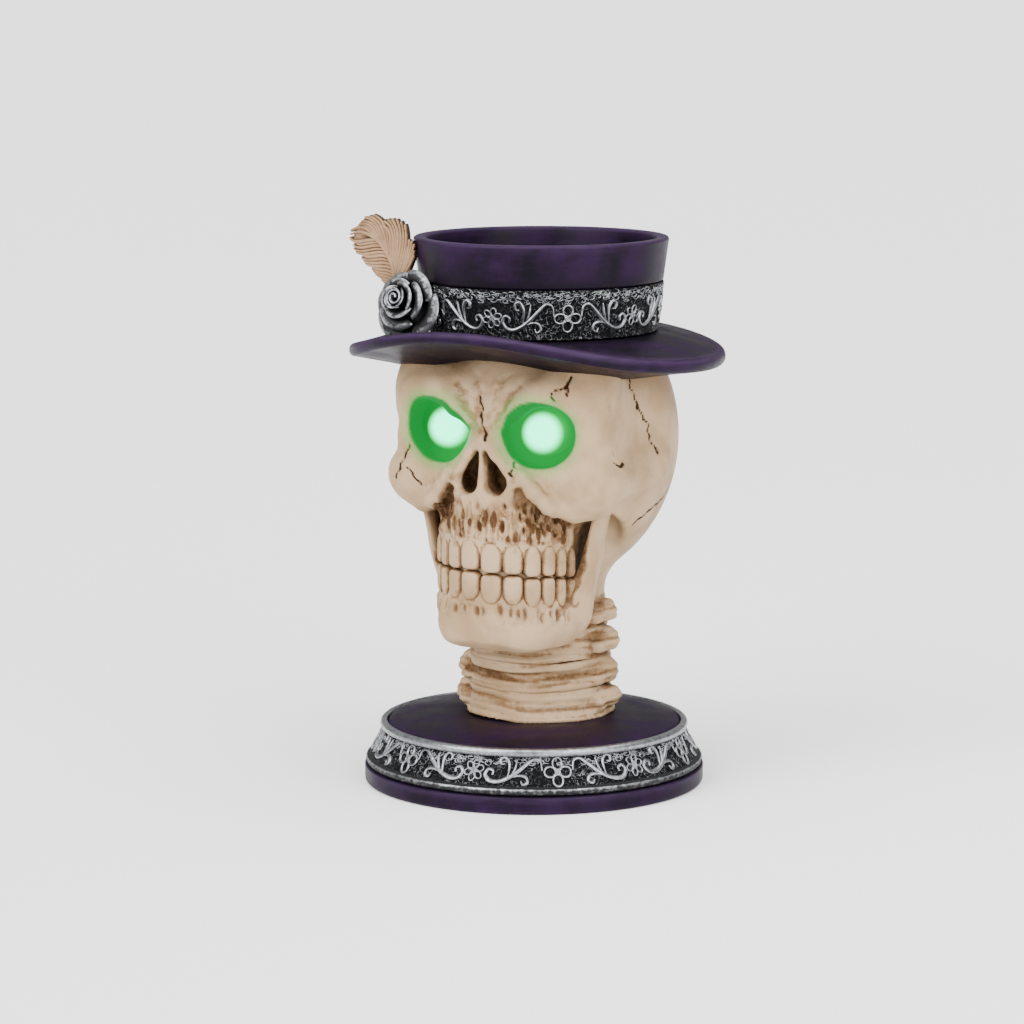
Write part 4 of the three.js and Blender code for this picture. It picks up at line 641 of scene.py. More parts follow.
def tooth_row(bite, gum):
    """Points, faces and wash of a row of teeth between the bite and the gum, with painted shade on the
    teeth's backs and at the row's ends.
    """
    rows, columns = 25, 28
    rise = np.sin(np.linspace(-math.pi / 2, math.pi / 2, rows))
    turn = np.linspace(0, 2 * math.pi, columns, endpoint=False)
    girth = tooth_girth(rise)
    girth[[0, -1]] = 0.0
    across = np.sign(np.cos(turn)) * np.abs(np.cos(turn)) ** 0.8
    deep = np.sign(np.sin(turn)) * np.abs(np.sin(turn)) ** 0.7
    points, faces, wash_and_shade = [], [], []
    for number, (x, y, heading, width) in enumerate(tooth_places()):
        lean = TOOTH_LEAN * math.sin(3.7 * number + gum)
        local_x = 0.49 * width * np.outer(girth, across)
        local_y = TOOTH_THICKNESS / 2 * (1 + np.outer(girth ** 0.5, deep)) - 0.5 + lean
        drop = bite_bend(x, y) + TOOTH_UNEVEN * math.sin(5.1 * number)
        height = (bite + gum) / 2 + (gum - bite) / 2 * rise - drop
        local_z = np.repeat(height, columns).reshape(rows, columns)
        cos, sin = math.cos(heading), math.sin(heading)
        place_x = x + cos * local_x - sin * local_y
        place_y = y + sin * local_x + cos * local_y
        faces.append(sheet_faces(rows, columns, closed_columns=True) + number * rows * columns)
        points.append(np.stack([place_x, place_y, local_z], axis=-1).reshape(-1, 3))
        inset = (girth[:, None] - np.abs(np.outer(girth, across))) * width / 2
        rim = np.maximum(ramp(-inset, -1.3, 0.1), ramp(np.abs(rise), 0.8, 0.99)[:, None]) ** 1.4
        # Painted shade on the backs of the teeth, inside the mouth
        back_face_shade = ramp(np.tile(deep, (rows, 1)), -0.35, 0.3)
        # Painted shadow on the last teeth, behind the upright of the jaw
        ramus_shadow = ramp(abs(math.atan2(x, ARCH_Y - y)), 1.0, 1.4)
        # Stain near the gum, plus the painted shadow at the row's ends
        stain = 0.14 + 0.1 * ramp(rise, 0.0, 0.8)[:, None] + 0.5 * ramus_shadow
        wash_and_shade.append(np.clip(np.maximum(0.95 * rim, back_face_shade) + stain, 0, 1).ravel())
    faces = np.concatenate(faces)
    if gum > bite:
        faces = faces[:, ::-1]
    return np.concatenate(points), faces, np.concatenate(wash_and_shade)


def arch_gap(points):
    """How far points lie outside the dental arch, seen from above."""
    near = np.hypot(points[:, 0] / ARCH_HALF_WIDTH, (points[:, 1] - ARCH_Y) / ARCH_DEPTH)
    return (near - 1) * ARCH_HALF_WIDTH


def root_pits(rng, gum, away):
    """Oval pits among the tooth roots: (angle round the arch, height, half width, half length)."""
    found = []
    rises, shares = ((4.6, 8.2, 11.6), (0.5,)) if away > 0 else ((3.2,), (-0.25, 0.25))
    for x, y, _, width in tooth_places():
        middle, radius = math.atan2(x, ARCH_Y - y), math.hypot(x, ARCH_Y - y)
        for rise in rises:
            for share in shares:
                turn = middle + share * width / radius + rng.uniform(-0.05, 0.05)
                height = gum + away * (rise + rng.uniform(-0.8, 0.8))
                if rng.random() < 0.82:
                    found.append((turn, height, rng.uniform(0.65, 1.0), rng.uniform(1.5, 2.4)))
    return found


def root_relief(points, gum, bite, away, rng):
    """Ridges over the tooth roots, pits among them and outlines: height, darkness and root zone."""
    angle = np.arctan2(points[:, 0], ARCH_Y - points[:, 1])
    upright = points[:, 2] + bite_bend(points[:, 0], points[:, 1])
    rise = (upright - gum) * away
    gap = arch_gap(points)
    deepest = 15.0 if away > 0 else 7.0
    zone = ramp(rise, -0.5, 1.5) * ramp(deepest - rise, 0, 0.4 * deepest)
    zone *= ramp(-np.abs(angle), -1.4, -1.1) * ramp(-gap, -3, -1)
    share = (2 * upright - bite - gum) / (gum - bite)
    height = np.zeros(len(points))
    outline = np.zeros(len(points))
    for x, y, _, width in tooth_places():
        aside = np.abs(angle - math.atan2(x, ARCH_Y - y)) * math.hypot(x, ARCH_Y - y)
        height += 0.9 * bump(aside, 0.28 * width)
        edge = bump(aside - tooth_girth(share) * width / 2, 0.5) * ramp(-share, -1.0, -0.9)
        outline = np.maximum(outline, edge)
        outline = np.maximum(outline, bump(aside, 0.3 * width) * bump(rise - 0.3, 0.4))
    height = (height - 0.4) * zone
    dark = (0.34 + 0.2 * ramp(-height, 0.0, 0.4)) * zone * (1.0 if away > 0 else 0.6)
    for middle, pit_z, width, length in root_pits(rng, gum, away):
        near = np.hypot((angle - middle) * ARCH_HALF_WIDTH / width, (upright - pit_z) / length)
        hole = (1 - ramp(near, 0.4, 1.1)) * zone
        lip = bump(near - 1.35, 0.3) * zone
        height += 0.4 * lip - 1.0 * hole
        dark = np.maximum(dark * (1 - lip), 0.8 * hole)
    outline *= ramp(-gap, -2.0, -0.8) * ramp(-np.abs(angle), -1.5, -1.3)
    return height, np.maximum(dark, outline), zone


def ramus_shade(points):
    """Painted shadow in the gap between the tooth rows and the upright of the jaw, laid on as dark wash."""
    folded = mirrored(points)
    height = points[:, 2]
    angle = np.arctan2(folded[:, 0], ARCH_Y - folded[:, 1])
    # Painted shadow on the bone behind the ends of the tooth rows
    behind = ramp(angle, 1.28, 1.42) * ramp(-arch_gap(points), -1.6, -0.4)
    behind *= ramp(height, -1, 3) * ramp(-height, -27, -23)
    # Painted shadow along the groove behind the last teeth, on the side where x is positive
    groove = (1 - ramp(behind_teeth(folded.T), 0.1, 1.4)) * ramp(height, -2, 4) * (points[:, 0] > 0)
    return np.maximum(behind, groove)


def cheek_pockets(folded):
    """The row of dark pockets under the cheekbone's edge, on points seen from the front: depth at each."""
    line = smooth_line(CHEEK_EDGE, 8)
    gone = run_length(line)
    depth = np.zeros(len(folded))
    for number, along in enumerate(np.arange(FIRST_POCKET, gone[-1], POCKET_PITCH)):
        middle = at_length(line, gone, along)
        ahead = at_length(line, gone, along + 0.5) - middle
        ahead = ahead / max(np.linalg.norm(ahead), TINY)
        below = np.array([ahead[1], -ahead[0]])
        reach = 1.5 + 0.5 * math.sin(2.3 * number)
        offset = folded - middle - below * 0.6 * reach
        depth = np.maximum(depth, bump(offset @ ahead, POCKET_HALF_WIDTH) * bump(offset @ below, reach))
    return depth


def bone_parts(field, points, normals, rng, gum, bite, away):
    """Carve the fine relief into skinned bone: moved points and the painter's values for each, the wash with
    painted shade in it.
    """
    upper = away > 0
    folded = mirrored(points)
    half_face = folded[:, [0, 2]]
    forward = -points[:, 1]
    facing = ramp(-normals[:, 1], 0.1, 0.4) * ramp(forward, 12, 16)
    beside = ramp(points[:, 0], 20, 26) * ramp(-facing, -1, 0)
    crack = bump(near_lines(points[:, [0, 2]], FRONT_CRACKS), FRONT_CRACK_WIDTH) * facing
    crack = np.maximum(crack, bump(near_lines(points[:, [1, 2]], SIDE_CRACKS), SIDE_CRACK_WIDTH) * beside)
    fold = bump(near_lines(half_face, FROWN_FOLDS), FOLD_WIDTH) * facing
    relief, dark, root = root_relief(points, gum, bite, away, rng)
    pocket = cheek_pockets(half_face) * ramp(forward, 14, 18) * upper
    on_front = ramp(forward, 4, 9)
    # How closed in each point is: brown wash and painted shade in the hollows
    hollow = hollowness(field, points, normals, (1.2, 2.5, 5.0, 9.0))
    depth = relief * on_front - 0.75 * fold - 0.7 * pocket - sizes().crack_depth / MM * crack
    moved = points + normals * depth[:, None]
    furrow = bump(near_lines(half_face, (CHEEK_EDGE,)), FOLD_WIDTH) * facing * upper
    # Painted shade: the nostrils dark all the way in, laid on with the wash
    nostril = (1 - ramp(nostril_field(folded.T), 0.0, 0.4)) * ramp(-forward, -33.0, -30.6) * upper
    # Brown wash, with painted shade in the hollows, in the nostrils and in the gap behind the teeth
    wash_and_shade = (0.85 * hollow + 0.35 * furrow + nostril + dark * on_front + 0.5 * fold + 0.3 * pocket
            + ramus_shade(points))
    return moved, np.clip(wash_and_shade, 0, 1), crack, root * on_front


def green_light(points):
    """Painted green light of the eyes on the bone: share of each point that lies in an eye socket, and how
    strongly the eyes light it.
    """
    eye = np.array([EYE_X, -EYE_FRONT + LENS_RADIUS, EYE_Z])
    folded = mirrored(points)
    away = np.linalg.norm(folded - eye, axis=1) - LENS_RADIUS
    outside = orbit_field((socket_x(points[:, 0]), points[:, 1], points[:, 2]))
    beside_nose = ramp(nostril_field(folded.T), -0.2, 0.6)
    socket = ramp(-outside, -1.0, -0.1) * beside_nose
    # Painted green halo on the bone round each socket
    ring = ramp(-outside, -4.2, -0.3) * ramp(-folded[:, 1], 18, 22) * beside_nose
    glow = np.maximum(socket * (0.32 + 0.68 * ramp(-away, -7.5, -0.3)), 0.7 * ring)
    return np.maximum(socket, 0.4 * ring), glow


def bone_mesh(name, field, lines, gum, bite, seed):
    """A skull bone with its row of teeth, as one mesh with the painter's values."""
    away = 1 if gum > bite else -1
    points, faces = skin(field, lines)
    points, normals = settle(field, points)
    rng = np.random.default_rng(seed)
    moved, wash_and_shade, crack, root = bone_parts(field, points, normals, rng, gum, bite, away)
    teeth, tooth_faces, tooth_wash_and_shade = tooth_row(bite, gum + 0.9 * away)
    # Painted green light of the eyes, in and round the sockets
    socket, glow = green_light(moved)
    root = root * (1.0 if away > 0 else LOWER_ROOT_SHARE)
    clean = np.zeros(len(teeth))
    # Brown wash and painted shade, on the bone and the teeth
    values = {"wash_and_shade": np.concatenate([wash_and_shade, tooth_wash_and_shade])}
    for key, on_bone in (("crack", crack), ("socket", socket), ("glow", glow), ("root", root)):
        values[key] = np.concatenate([on_bone, clean])
    whole = np.concatenate([moved, teeth]) + [0, 0, SKULL_Z]
    return make_mesh(name, whole, np.concatenate([faces, tooth_faces + len(moved)]), values)


# Neck

NECK_PITCH = (SKULL_Z - NECK_FOOT_Z) / 4
# Radii of each neck bone at its foot, waist and top, the reach of its side knobs and their height in the bone
NECK_BONES = (
    (22.0, 20.7, 20.4, 25.0, 0.58),
    (20.4, 20.2, 20.6, 24.4, 0.50),
    (20.6, 19.6, 19.4, 24.6, 0.58),
    (19.4, 19.0, 19.0, 23.8, 0.55),
)
NECK_TURN = math.radians(10)
NECK_SEAM = 0.04
# Reach of the grid that a neck bone is skinned on: to the sides and the front, to the back, and past its ends
NECK_REACH = 27
NECK_BACK = 29
NECK_SPARE = 0.9
# The bone with the deep groove round its middle
GROOVED_BONE = 1


def neck_bone_field(p, foot, waist, top, knob, knob_rise):
    """One neck bone: a drum with a knob at each side and a spine at the back, turned a little."""
    x = p[0] * math.cos(NECK_TURN) + p[1] * math.sin(NECK_TURN)
    y = p[1] * math.cos(NECK_TURN) - p[0] * math.sin(NECK_TURN)
    z = p[2]
    rise = z / NECK_PITCH
    end = np.where(rise < 0.5, foot, top)
    turn = np.arctan2(x, -y)
    radius = waist + (end - waist) * (2 * rise - 1) ** 2
    radius = radius + 0.35 * np.sin(3 * turn + foot) + 0.2 * np.sin(7 * turn + top)
    ends = np.abs(z - NECK_PITCH / 2) - NECK_PITCH / 2 + NECK_SEAM
    side = (np.abs(x), y, z)
    knob_z = knob_rise * NECK_PITCH
    bone = np.hypot(x, y) - radius
    bone = soft_min(bone, ellipsoid(side, (knob - 3.9, -0.8, knob_z), (3.9, 4.8, 3.5)), 1.6)
    bone = soft_min(bone, ellipsoid(side, (knob - 5.2, -6.4, knob_z - 1.4), (2.4, 3.2, 2.2)), 1.6)
    bone = soft_min(bone, ellipsoid((x, y, z), (0, 18.5, NECK_PITCH / 2), (4.6, 8, 3.7)), 2.4)
    return np.maximum(bone, ends)


def neck_bone(number):
    """Skin one neck bone, wrinkle it round its drum and wash its grooves, with painted shade in its hollows.
    """
    cell = 0.95 * sizes().bone_cell / MM
    lines = (
        grid_lines(-NECK_REACH, NECK_REACH, cell), grid_lines(-NECK_REACH, NECK_BACK, cell),
        grid_lines(-NECK_SPARE, NECK_PITCH + NECK_SPARE, 0.8 * cell),
    )

    def field(p):
        return neck_bone_field(p, *NECK_BONES[number])

    points, faces = skin(field, lines)
    points, normals = settle(field, points)
    turn = np.arctan2(points[:, 0], -points[:, 1])
    rise = points[:, 2] / NECK_PITCH
    wall = ramp(np.hypot(points[:, 0], points[:, 1]), 14, 17)
    wrinkle = np.sin(8.5 * rise + 1.9 * np.sin(1.3 * turn + number) + 0.7 * np.sin(4 * turn))
    fine = np.sin(25 * rise + 2.2 * np.sin(1.9 * turn + 2 * number) + 0.8 * np.sin(6 * turn))
    depth = 0.3 * wrinkle + 0.16 * fine
    groove = np.zeros(len(points))
    if number == GROOVED_BONE:
        off_middle = np.abs(rise - 0.5 - 0.04 * np.sin(2 * turn))
        before_knobs = 1 - ramp(np.abs(turn), 0.95, 1.2)
        groove = (1 - ramp(off_middle, 0.08, 0.19)) * before_knobs
        lips = bump(off_middle - 0.23, 0.05) * before_knobs
        depth = depth * (1 - groove) - 1.1 * groove + 0.5 * lips
    # How closed in each point is: brown wash and painted shade in the hollows
    hollow = hollowness(field, points, normals, (1.5, 3.0))
    streaks = 0.36 * ramp(-wrinkle, 0.0, 0.95) + 0.3 * ramp(-fine, 0.0, 0.9)
    # Brown wash, with painted shade in the hollows
    wash_and_shade = np.clip(0.85 * hollow + 0.6 * groove + 1.3 * streaks, 0, 1)
    moved = points + normals * (depth * wall)[:, None] + [0, NECK_Y, NECK_FOOT_Z + number * NECK_PITCH]
    return make_mesh(f"neck_bone_{number + 1}", moved, faces, {"wash_and_shade": wash_and_shade})


# Hat

CROWN_FOOT_Z = BAND_FOOT_Z - 0.1
BRIM_TOP_Z = CROWN_FOOT_Z - 0.3
BRIM_HOLE = 19.7
BRIM_RADIUS = 54.8
BRIM_FORWARD = 2.5
BRIM_EDGE = 3.3
BRIM_ROOT_RADIUS = 36.3
# How far the brim's edge hangs, and its root underneath, with their rise at the front and the back
BRIM_DROP = 6.1
BRIM_FRONT_LIFT = 11.0
BRIM_BACK_LIFT = 5.0
BRIM_ROOT_DROP = 11.9
BRIM_ROOT_LIFT = 6.4
BRIM_STEPS = 22
BRIM_NOSE_STEPS = 9
SPIGOT_BORE = 16.4
SPIGOT_RADIUS = 19.4
CROWN_FOOT_RADIUS = 33.6
CROWN_TOP_RADIUS = 37.3
CROWN_WALL = 3.8
CUP_FLOOR_Z = CROWN_FOOT_Z + 3.6
BAND_RADIUS_FOOT = 34.2
BAND_RADIUS_TOP = 36.1
BAND_THICKNESS = 1.5
BAND_SEAT_DEPTH = 1.2
# Height of the flowers' middles over the foot of the band
BAND_RELIEF_RISE = 6.2


def brim_levels(turn):
    """Edge height and root underside of the brim at an angle from the front."""
    degrees = np.degrees(np.abs(np.arctan2(np.sin(turn), np.cos(turn))))
    lift = BRIM_FRONT_LIFT * bump(degrees, 47) + BRIM_BACK_LIFT * bump(180 - degrees, 45)
    return BRIM_TOP_Z - BRIM_DROP + lift, BRIM_TOP_Z - BRIM_ROOT_DROP + BRIM_ROOT_LIFT * bump(degrees, 42)


def hat_brim():
    """The wavy brim: a ring with a thick rounded edge, hollow curve above and below."""
    turn = np.linspace(0, 2 * math.pi, sizes().turns, endpoint=False)[:, None]
    edge, root = brim_levels(turn)
    reach = BRIM_RADIUS + BRIM_FORWARD * np.cos(turn)
    tip = reach - 0.5 * BRIM_EDGE
    out = np.linspace(0, 1, BRIM_STEPS)[None, :]
    radius = BRIM_ROOT_RADIUS + (tip - BRIM_ROOT_RADIUS) * out
    share = (radius - BRIM_ROOT_RADIUS) / (reach - BRIM_ROOT_RADIUS)
    under = root + (edge - BRIM_EDGE - root) * share ** 0.9
    over = BRIM_TOP_Z + (edge - BRIM_TOP_Z) * share ** 1.2
    arc = np.linspace(-1, 1, BRIM_NOSE_STEPS + 2)[None, 1:-1] * math.pi / 2
    middle, half = (under[:, -1:] + over[:, -1:]) / 2, (over[:, -1:] - under[:, -1:]) / 2
    nose_radius = tip + 0.5 * BRIM_EDGE * np.cos(arc)
    nose_height = middle + half * np.sin(arc)
    hole = np.full_like(turn, BRIM_HOLE)
    radii = np.concatenate([hole, radius, nose_radius, radius[:, ::-1], hole], axis=1)
    heights = np.concatenate([root, under, nose_height, over[:, ::-1], 0 * hole + BRIM_TOP_Z], axis=1)
    points = np.stack([radii * np.sin(turn), HAT_Y - radii * np.cos(turn), heights], axis=-1)
    faces = sheet_faces(*radii.shape, closed_rows=True, closed_columns=True)
    # Wear and painted highlight on the upper side of the rounded edge
    rub_and_highlight = np.concatenate([
        np.zeros(BRIM_STEPS), [0.3], bump(np.linspace(-1, 1, BRIM_NOSE_STEPS) - 0.55, 0.4), [0.55, 0.3],
        np.zeros(BRIM_STEPS - 1),
    ])
    # Painted shade under the brim and on its top near the crown
    shade = np.concatenate([
        [1], ramp(1 - out[0], -0.2, 0.9), np.zeros(BRIM_NOSE_STEPS),
        0.85 * ramp(1 - out[0][::-1], 0.55, 1), [1],
    ])
    values = {"rub_and_highlight": np.tile(rub_and_highlight, len(turn)), "shade": np.tile(shade, len(turn))}
    return weld(make_mesh("brim_shell", points.reshape(-1, 3), faces, values))


def hat_crown():
    """The open cup of the hat."""
    spigot = level("hat_crown")
    slope = (CROWN_TOP_RADIUS - CROWN_FOOT_RADIUS) / (CROWN_TOP_Z - CROWN_FOOT_Z)
    seat = CROWN_FOOT_RADIUS - BAND_SEAT_DEPTH
    shoulder = BAND_TOP_Z + 0.3
    out = CROWN_FOOT_RADIUS + slope * (shoulder - CROWN_FOOT_Z)
    profile = rounded([
        (0, CROWN_FOOT_Z), (SPIGOT_BORE, CROWN_FOOT_Z), (SPIGOT_BORE, spigot), (SPIGOT_RADIUS, spigot),
        (SPIGOT_RADIUS, CROWN_FOOT_Z), (seat, CROWN_FOOT_Z), (out - BAND_SEAT_DEPTH, shoulder),
        (out, shoulder), (CROWN_TOP_RADIUS, CROWN_TOP_Z), (CROWN_TOP_RADIUS - CROWN_WALL, CROWN_TOP_Z),
        (seat - CROWN_WALL + 1.0, CUP_FLOOR_Z), (0, CUP_FLOOR_Z),
    ], 1.1, 6)
    profile = dense(profile, 2.0)
    height = profile[:, 1]
    inside = (profile[:, 0] < CROWN_TOP_RADIUS - 2.4) & (height > CUP_FLOOR_Z - 0.1)
    # Wear and painted highlight on the cup's lip
    rub_and_highlight = bump(height - CROWN_TOP_Z, 0.9) * 0.9
    # Painted shade deep in the cup and just above the band
    shade = np.where(inside, 0.55 * ramp(CROWN_TOP_Z - height, 8, 24), 0.9 * bump(height - shoulder, 2.6))
    return turned("crown_shell", profile, HAT_Y, attributes={"rub_and_highlight": rub_and_highlight, "shade": shade})


def hat_band():
    """Ground of the hat band: a thin cone round the crown, with a rolled edge above and below."""
    foot, top = BAND_FOOT_Z, BAND_TOP_Z
    bore = BAND_RADIUS_FOOT - BAND_THICKNESS
    profile = rounded([
        (bore, foot + 3), (bore, foot), (BAND_RADIUS_FOOT, foot), (BAND_RADIUS_FOOT - 0.4, foot + 1.0),
        (BAND_RADIUS_TOP - 0.6, top - 0.9), (BAND_RADIUS_TOP - 0.3, top),
        (BAND_RADIUS_TOP - BAND_THICKNESS - 0.2, top), (bore, foot + 3),
    ], 0.5)
    return turned("band_ground", dense(profile, 1.0)[:-1], HAT_Y, closed=True)


# Base

PLINTH_HEIGHT = level("plinth", top=True)
PLINTH_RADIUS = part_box("plinth")[1].x / MM
# Cuts in the underside of the foot plate: dishes as (width, front, back), slots as (half width, front, back)
DOOR_BAY = (30.6, 4.2, 35.8)
SWITCH_DISH = (14, -25.4, -18.6)
DISH_DEPTH = 2.2
DISH_CORNER = 2
SLIDER_SLOT = (3.8, -23.7, -20.3)
TAB_SLOT = (2.3, 33.5, 37.5)
TAB_SLOT_LEVELS = (0.8, 2.9)
TAB_PLACES = (-8, 8)
CELL_BORE_RADIUS = 10.5
CELL_Y = 22
SCREW_BORE_RADIUS = 1.7
SCREW_BORE_TOP = 5.2
SCREW_Y = 7.9
# Cutters run on past the faces that they open
OVERRUN = 1
DISC_STEPS = 48
FRIEZE_BORE = 40
FRIEZE_FOOT_RADIUS = 48.1
FRIEZE_TOP_RADIUS = 43.9
LOW_BEAD_RADIUS = 48.9
HIGH_BEAD_RADIUS = 44.5
BEAD = 2.0
# Faces inside this radius are not the ornament's ground
GROUND_RADIUS = 42
DECK_SEAT_RADIUS = 43.4
DECK_SEAT_DEPTH = 3.3
DECK_BORE = 6
DECK_RADIUS = 43.1
DECK_FLAT_RADIUS = 27
DECK_EDGE = 3


def prism(loop, foot, top):
    """A closed upright prism on a loop of (x, y), as an object for cutting."""
    shape = bmesh.new()
    lower = [shape.verts.new((x * MM, y * MM, foot * MM)) for x, y in loop]
    upper = [shape.verts.new((x * MM, y * MM, top * MM)) for x, y in loop]
    shape.faces.new(lower[::-1])
    shape.faces.new(upper)
    for i, vert in enumerate(lower):
        j = (i + 1) % len(lower)
        shape.faces.new((vert, lower[j], upper[j], upper[i]))
    bmesh.ops.recalc_face_normals(shape, faces=shape.faces)
    mesh = bpy.data.meshes.new("cutter")
    shape.to_mesh(mesh)
    shape.free()
    return in_scene("cutter", mesh)


def dish(width, front, back):
    """A cutter with rounded corners, let into the underside."""
    loop = []
    for side, at_back, start in ((1, 0, -90), (1, 1, 0), (-1, 1, 90), (-1, 0, 180)):
        x = side * (width / 2 - DISH_CORNER)
        y = back - DISH_CORNER if at_back else front + DISH_CORNER
        for step in range(7):
            turn = math.radians(start + 15 * step)
            loop.append((x + DISH_CORNER * math.cos(turn), y + DISH_CORNER * math.sin(turn)))
    return prism(loop, -OVERRUN, DISH_DEPTH)


def slot(x, half_width, front, back, foot, top):
    """A box as a cutter, alike on both sides of x."""
    left, right = x - half_width, x + half_width
    return prism([(left, front), (right, front), (right, back), (left, back)], foot, top)


def bore(radius, y, top):
    """A round cutter on the middle line, from inside a dish up."""
    turns = [2 * math.pi * i / DISC_STEPS for i in range(DISC_STEPS)]
    return prism([(radius * math.cos(t), y + radius * math.sin(t)) for t in turns], OVERRUN, top)


def cut_out(mesh, cutters):
    """The mesh with the cutters taken away."""
    body = in_scene("cut_body", mesh)
    for cutter in cutters:
        modifier = body.modifiers.new("cut", "BOOLEAN")
        modifier.operation = "DIFFERENCE"
        modifier.solver = "EXACT"
        modifier.object = cutter
    result = baked(body, mesh.name)
    for cutter in cutters:
        bpy.data.objects.remove(cutter)
    return result


def plinth_shell():
    """The foot plate, with the battery bay, the screw hole and the switch dish cut into its underside."""
    profile = rounded([
        (0, 0), (PLINTH_RADIUS - 0.1, 0), (PLINTH_RADIUS, PLINTH_HEIGHT - 0.2),
        (PLINTH_RADIUS - 1.2, PLINTH_HEIGHT), (0, PLINTH_HEIGHT),
    ], 1.0, 6)
    profile = dense(profile, 2.0)
    height = profile[:, 1]
    on_wall = profile[:, 0] > PLINTH_RADIUS - 1.5
    # Wear and painted highlight on the wall's top and bottom edges
    edges = 0.5 * bump(height - PLINTH_HEIGHT + 0.6, 0.5) + 0.25 * bump(height - 0.3, 0.5)
    rub_and_highlight = np.where(on_wall, edges, 0)
    # Painted shade at the wall's top edge, and over the top and the underside
    shade = np.where(on_wall, 0.6 * bump(height - PLINTH_HEIGHT, 0.35), 0.6)
    through = PLINTH_HEIGHT + OVERRUN
    return cut_out(turned("plinth_shell", profile, attributes={"rub_and_highlight": rub_and_highlight, "shade": shade}), [
        dish(*DOOR_BAY),
        bore(CELL_BORE_RADIUS, CELL_Y, through),
        bore(SCREW_BORE_RADIUS, SCREW_Y, SCREW_BORE_TOP),
        dish(*SWITCH_DISH),
        slot(0, *SLIDER_SLOT, OVERRUN, through),
        *(slot(x, *TAB_SLOT, *TAB_SLOT_LEVELS) for x in TAB_PLACES),
    ])


def bead(radius, wide, middle, tall):
    """Round of a bead on a profile."""
    return [(radius + wide * math.cos(t), middle + tall * math.sin(t)) for t in np.linspace(-1.5, 1.5, 9)]


def frieze_shell():
    """The sloping ring: silver beads above and below, black ground between."""
    foot, top = FRIEZE_FOOT_Z, FRIEZE_TOP_Z
    profile = dense(np.array([
        (FRIEZE_BORE, foot), (LOW_BEAD_RADIUS + 0.1, foot), *bead(LOW_BEAD_RADIUS, 0.75, foot + 1.0, 1.0),
        (FRIEZE_FOOT_RADIUS, foot + BEAD + 0.3), (FRIEZE_TOP_RADIUS, top - BEAD - 0.4),
        *bead(HIGH_BEAD_RADIUS, 0.85, top - 1.15, 1.15), (DECK_SEAT_RADIUS, top),
        (DECK_SEAT_RADIUS, top - DECK_SEAT_DEPTH), (FRIEZE_BORE, top - DECK_SEAT_DEPTH),
    ]), 1.2)
    height = profile[:, 1]
    low_bead = 0.75 * ramp(-height, -foot - BEAD - 0.6, -foot - BEAD) - 0.55 * bump(height - foot - 1.7, 0.3)
    valley = (low_bead + 0.6 * bump(height - foot - BEAD - 0.2, 0.45)
              + 0.6 * bump(height - top + BEAD + 0.3, 0.5))
    mesh = turned("frieze_shell", profile, closed=True, attributes={"valley": valley})
    mesh.materials.append(shared(rubbed_silver))
    mesh.materials.append(shared(dabbed_black))
    for face in mesh.polygons:
        x, y, z = face.center / MM
        if foot + BEAD + 0.2 < z < top - BEAD - 0.3 and math.hypot(x, y) > GROUND_RADIUS:
            face.material_index = 1
    return mesh


def deck_shell():
    """The domed plate that closes the top of the base."""
    under = FRIEZE_TOP_Z - DECK_EDGE
    profile = rounded([
        (DECK_BORE, under), (DECK_RADIUS, under), (DECK_RADIUS, FRIEZE_TOP_Z), (35, FRIEZE_TOP_Z + 1.3),
        (DECK_FLAT_RADIUS, DECK_TOP_Z), (DECK_BORE, DECK_TOP_Z), (DECK_BORE, under),
    ], 2.5, 6)
    profile = dense(profile, 1.5)[:-1]
    radius = profile[:, 0]
    # Wear and painted highlight on the rim
    rub_and_highlight = 0.2 * bump(radius - 42.4, 0.8)
    # Painted shade round the neck's foot, with a little over all
    shade = 0.1 + 0.45 * ramp(-radius, -30, -21)
    return turned("deck_shell", profile, closed=True, attributes={"rub_and_highlight": rub_and_highlight, "shade": shade})


# Scroll relief: one motif laid flat, then repeated and wrapped round its cone by a node tree


def beside_path(ahead):
    """Unit directions along and across a flat path."""
    ahead = ahead / np.linalg.norm(ahead, axis=1)[:, None]
    return ahead, np.stack([-ahead[:, 1], ahead[:, 0]], axis=1)


def half_round(steps):
    """Section of a ridge as (across, rise), with its foot sunk below the ground."""
    return [(math.cos(a), math.sin(a)) for a in np.linspace(0, math.pi, steps)] + [(-0.8, -0.6), (0.8, -0.6)]


def ridge(path, width, height, taper=(0.25, 0.25)):
    """Points and faces of a half-round ridge along a flat path, tapered to its ends."""
    path = np.asarray(path)
    ahead, beside = beside_path(np.gradient(path, axis=0))
    t = np.linspace(0, 1, len(path))
    first, last = taper
    ends = np.minimum(first + (1 - first) * ramp(t, -0.001, 0.35),
                      last + (1 - last) * ramp(1 - t, -0.001, 0.35))
    ring = half_round(7)
    points = [(*(path[0] - ahead[0] * width * 0.2), 0.1 * height)] * len(ring)
    for centre, side, size in zip(path, beside, ends):
        for across, rise in ring:
            flat = centre + side * across * width / 2 * size
            points.append((*flat, rise * height * size ** 0.5))
    points += [(*(path[-1] + ahead[-1] * width * 0.2), 0.1 * height)] * len(ring)
    return np.array(points), sheet_faces(len(path) + 2, len(ring), closed_columns=True)


def loop_ridge(path, width, height):
    """A half-round ridge along a closed flat path."""
    _, beside = beside_path(np.roll(path, -1, axis=0) - np.roll(path, 1, axis=0))
    ring = half_round(6)
    points = [(*(centre + side * across * width / 2), rise * height)
              for centre, side in zip(path, beside) for across, rise in ring]
    return np.array(points), sheet_faces(len(path), len(ring), closed_rows=True, closed_columns=True)


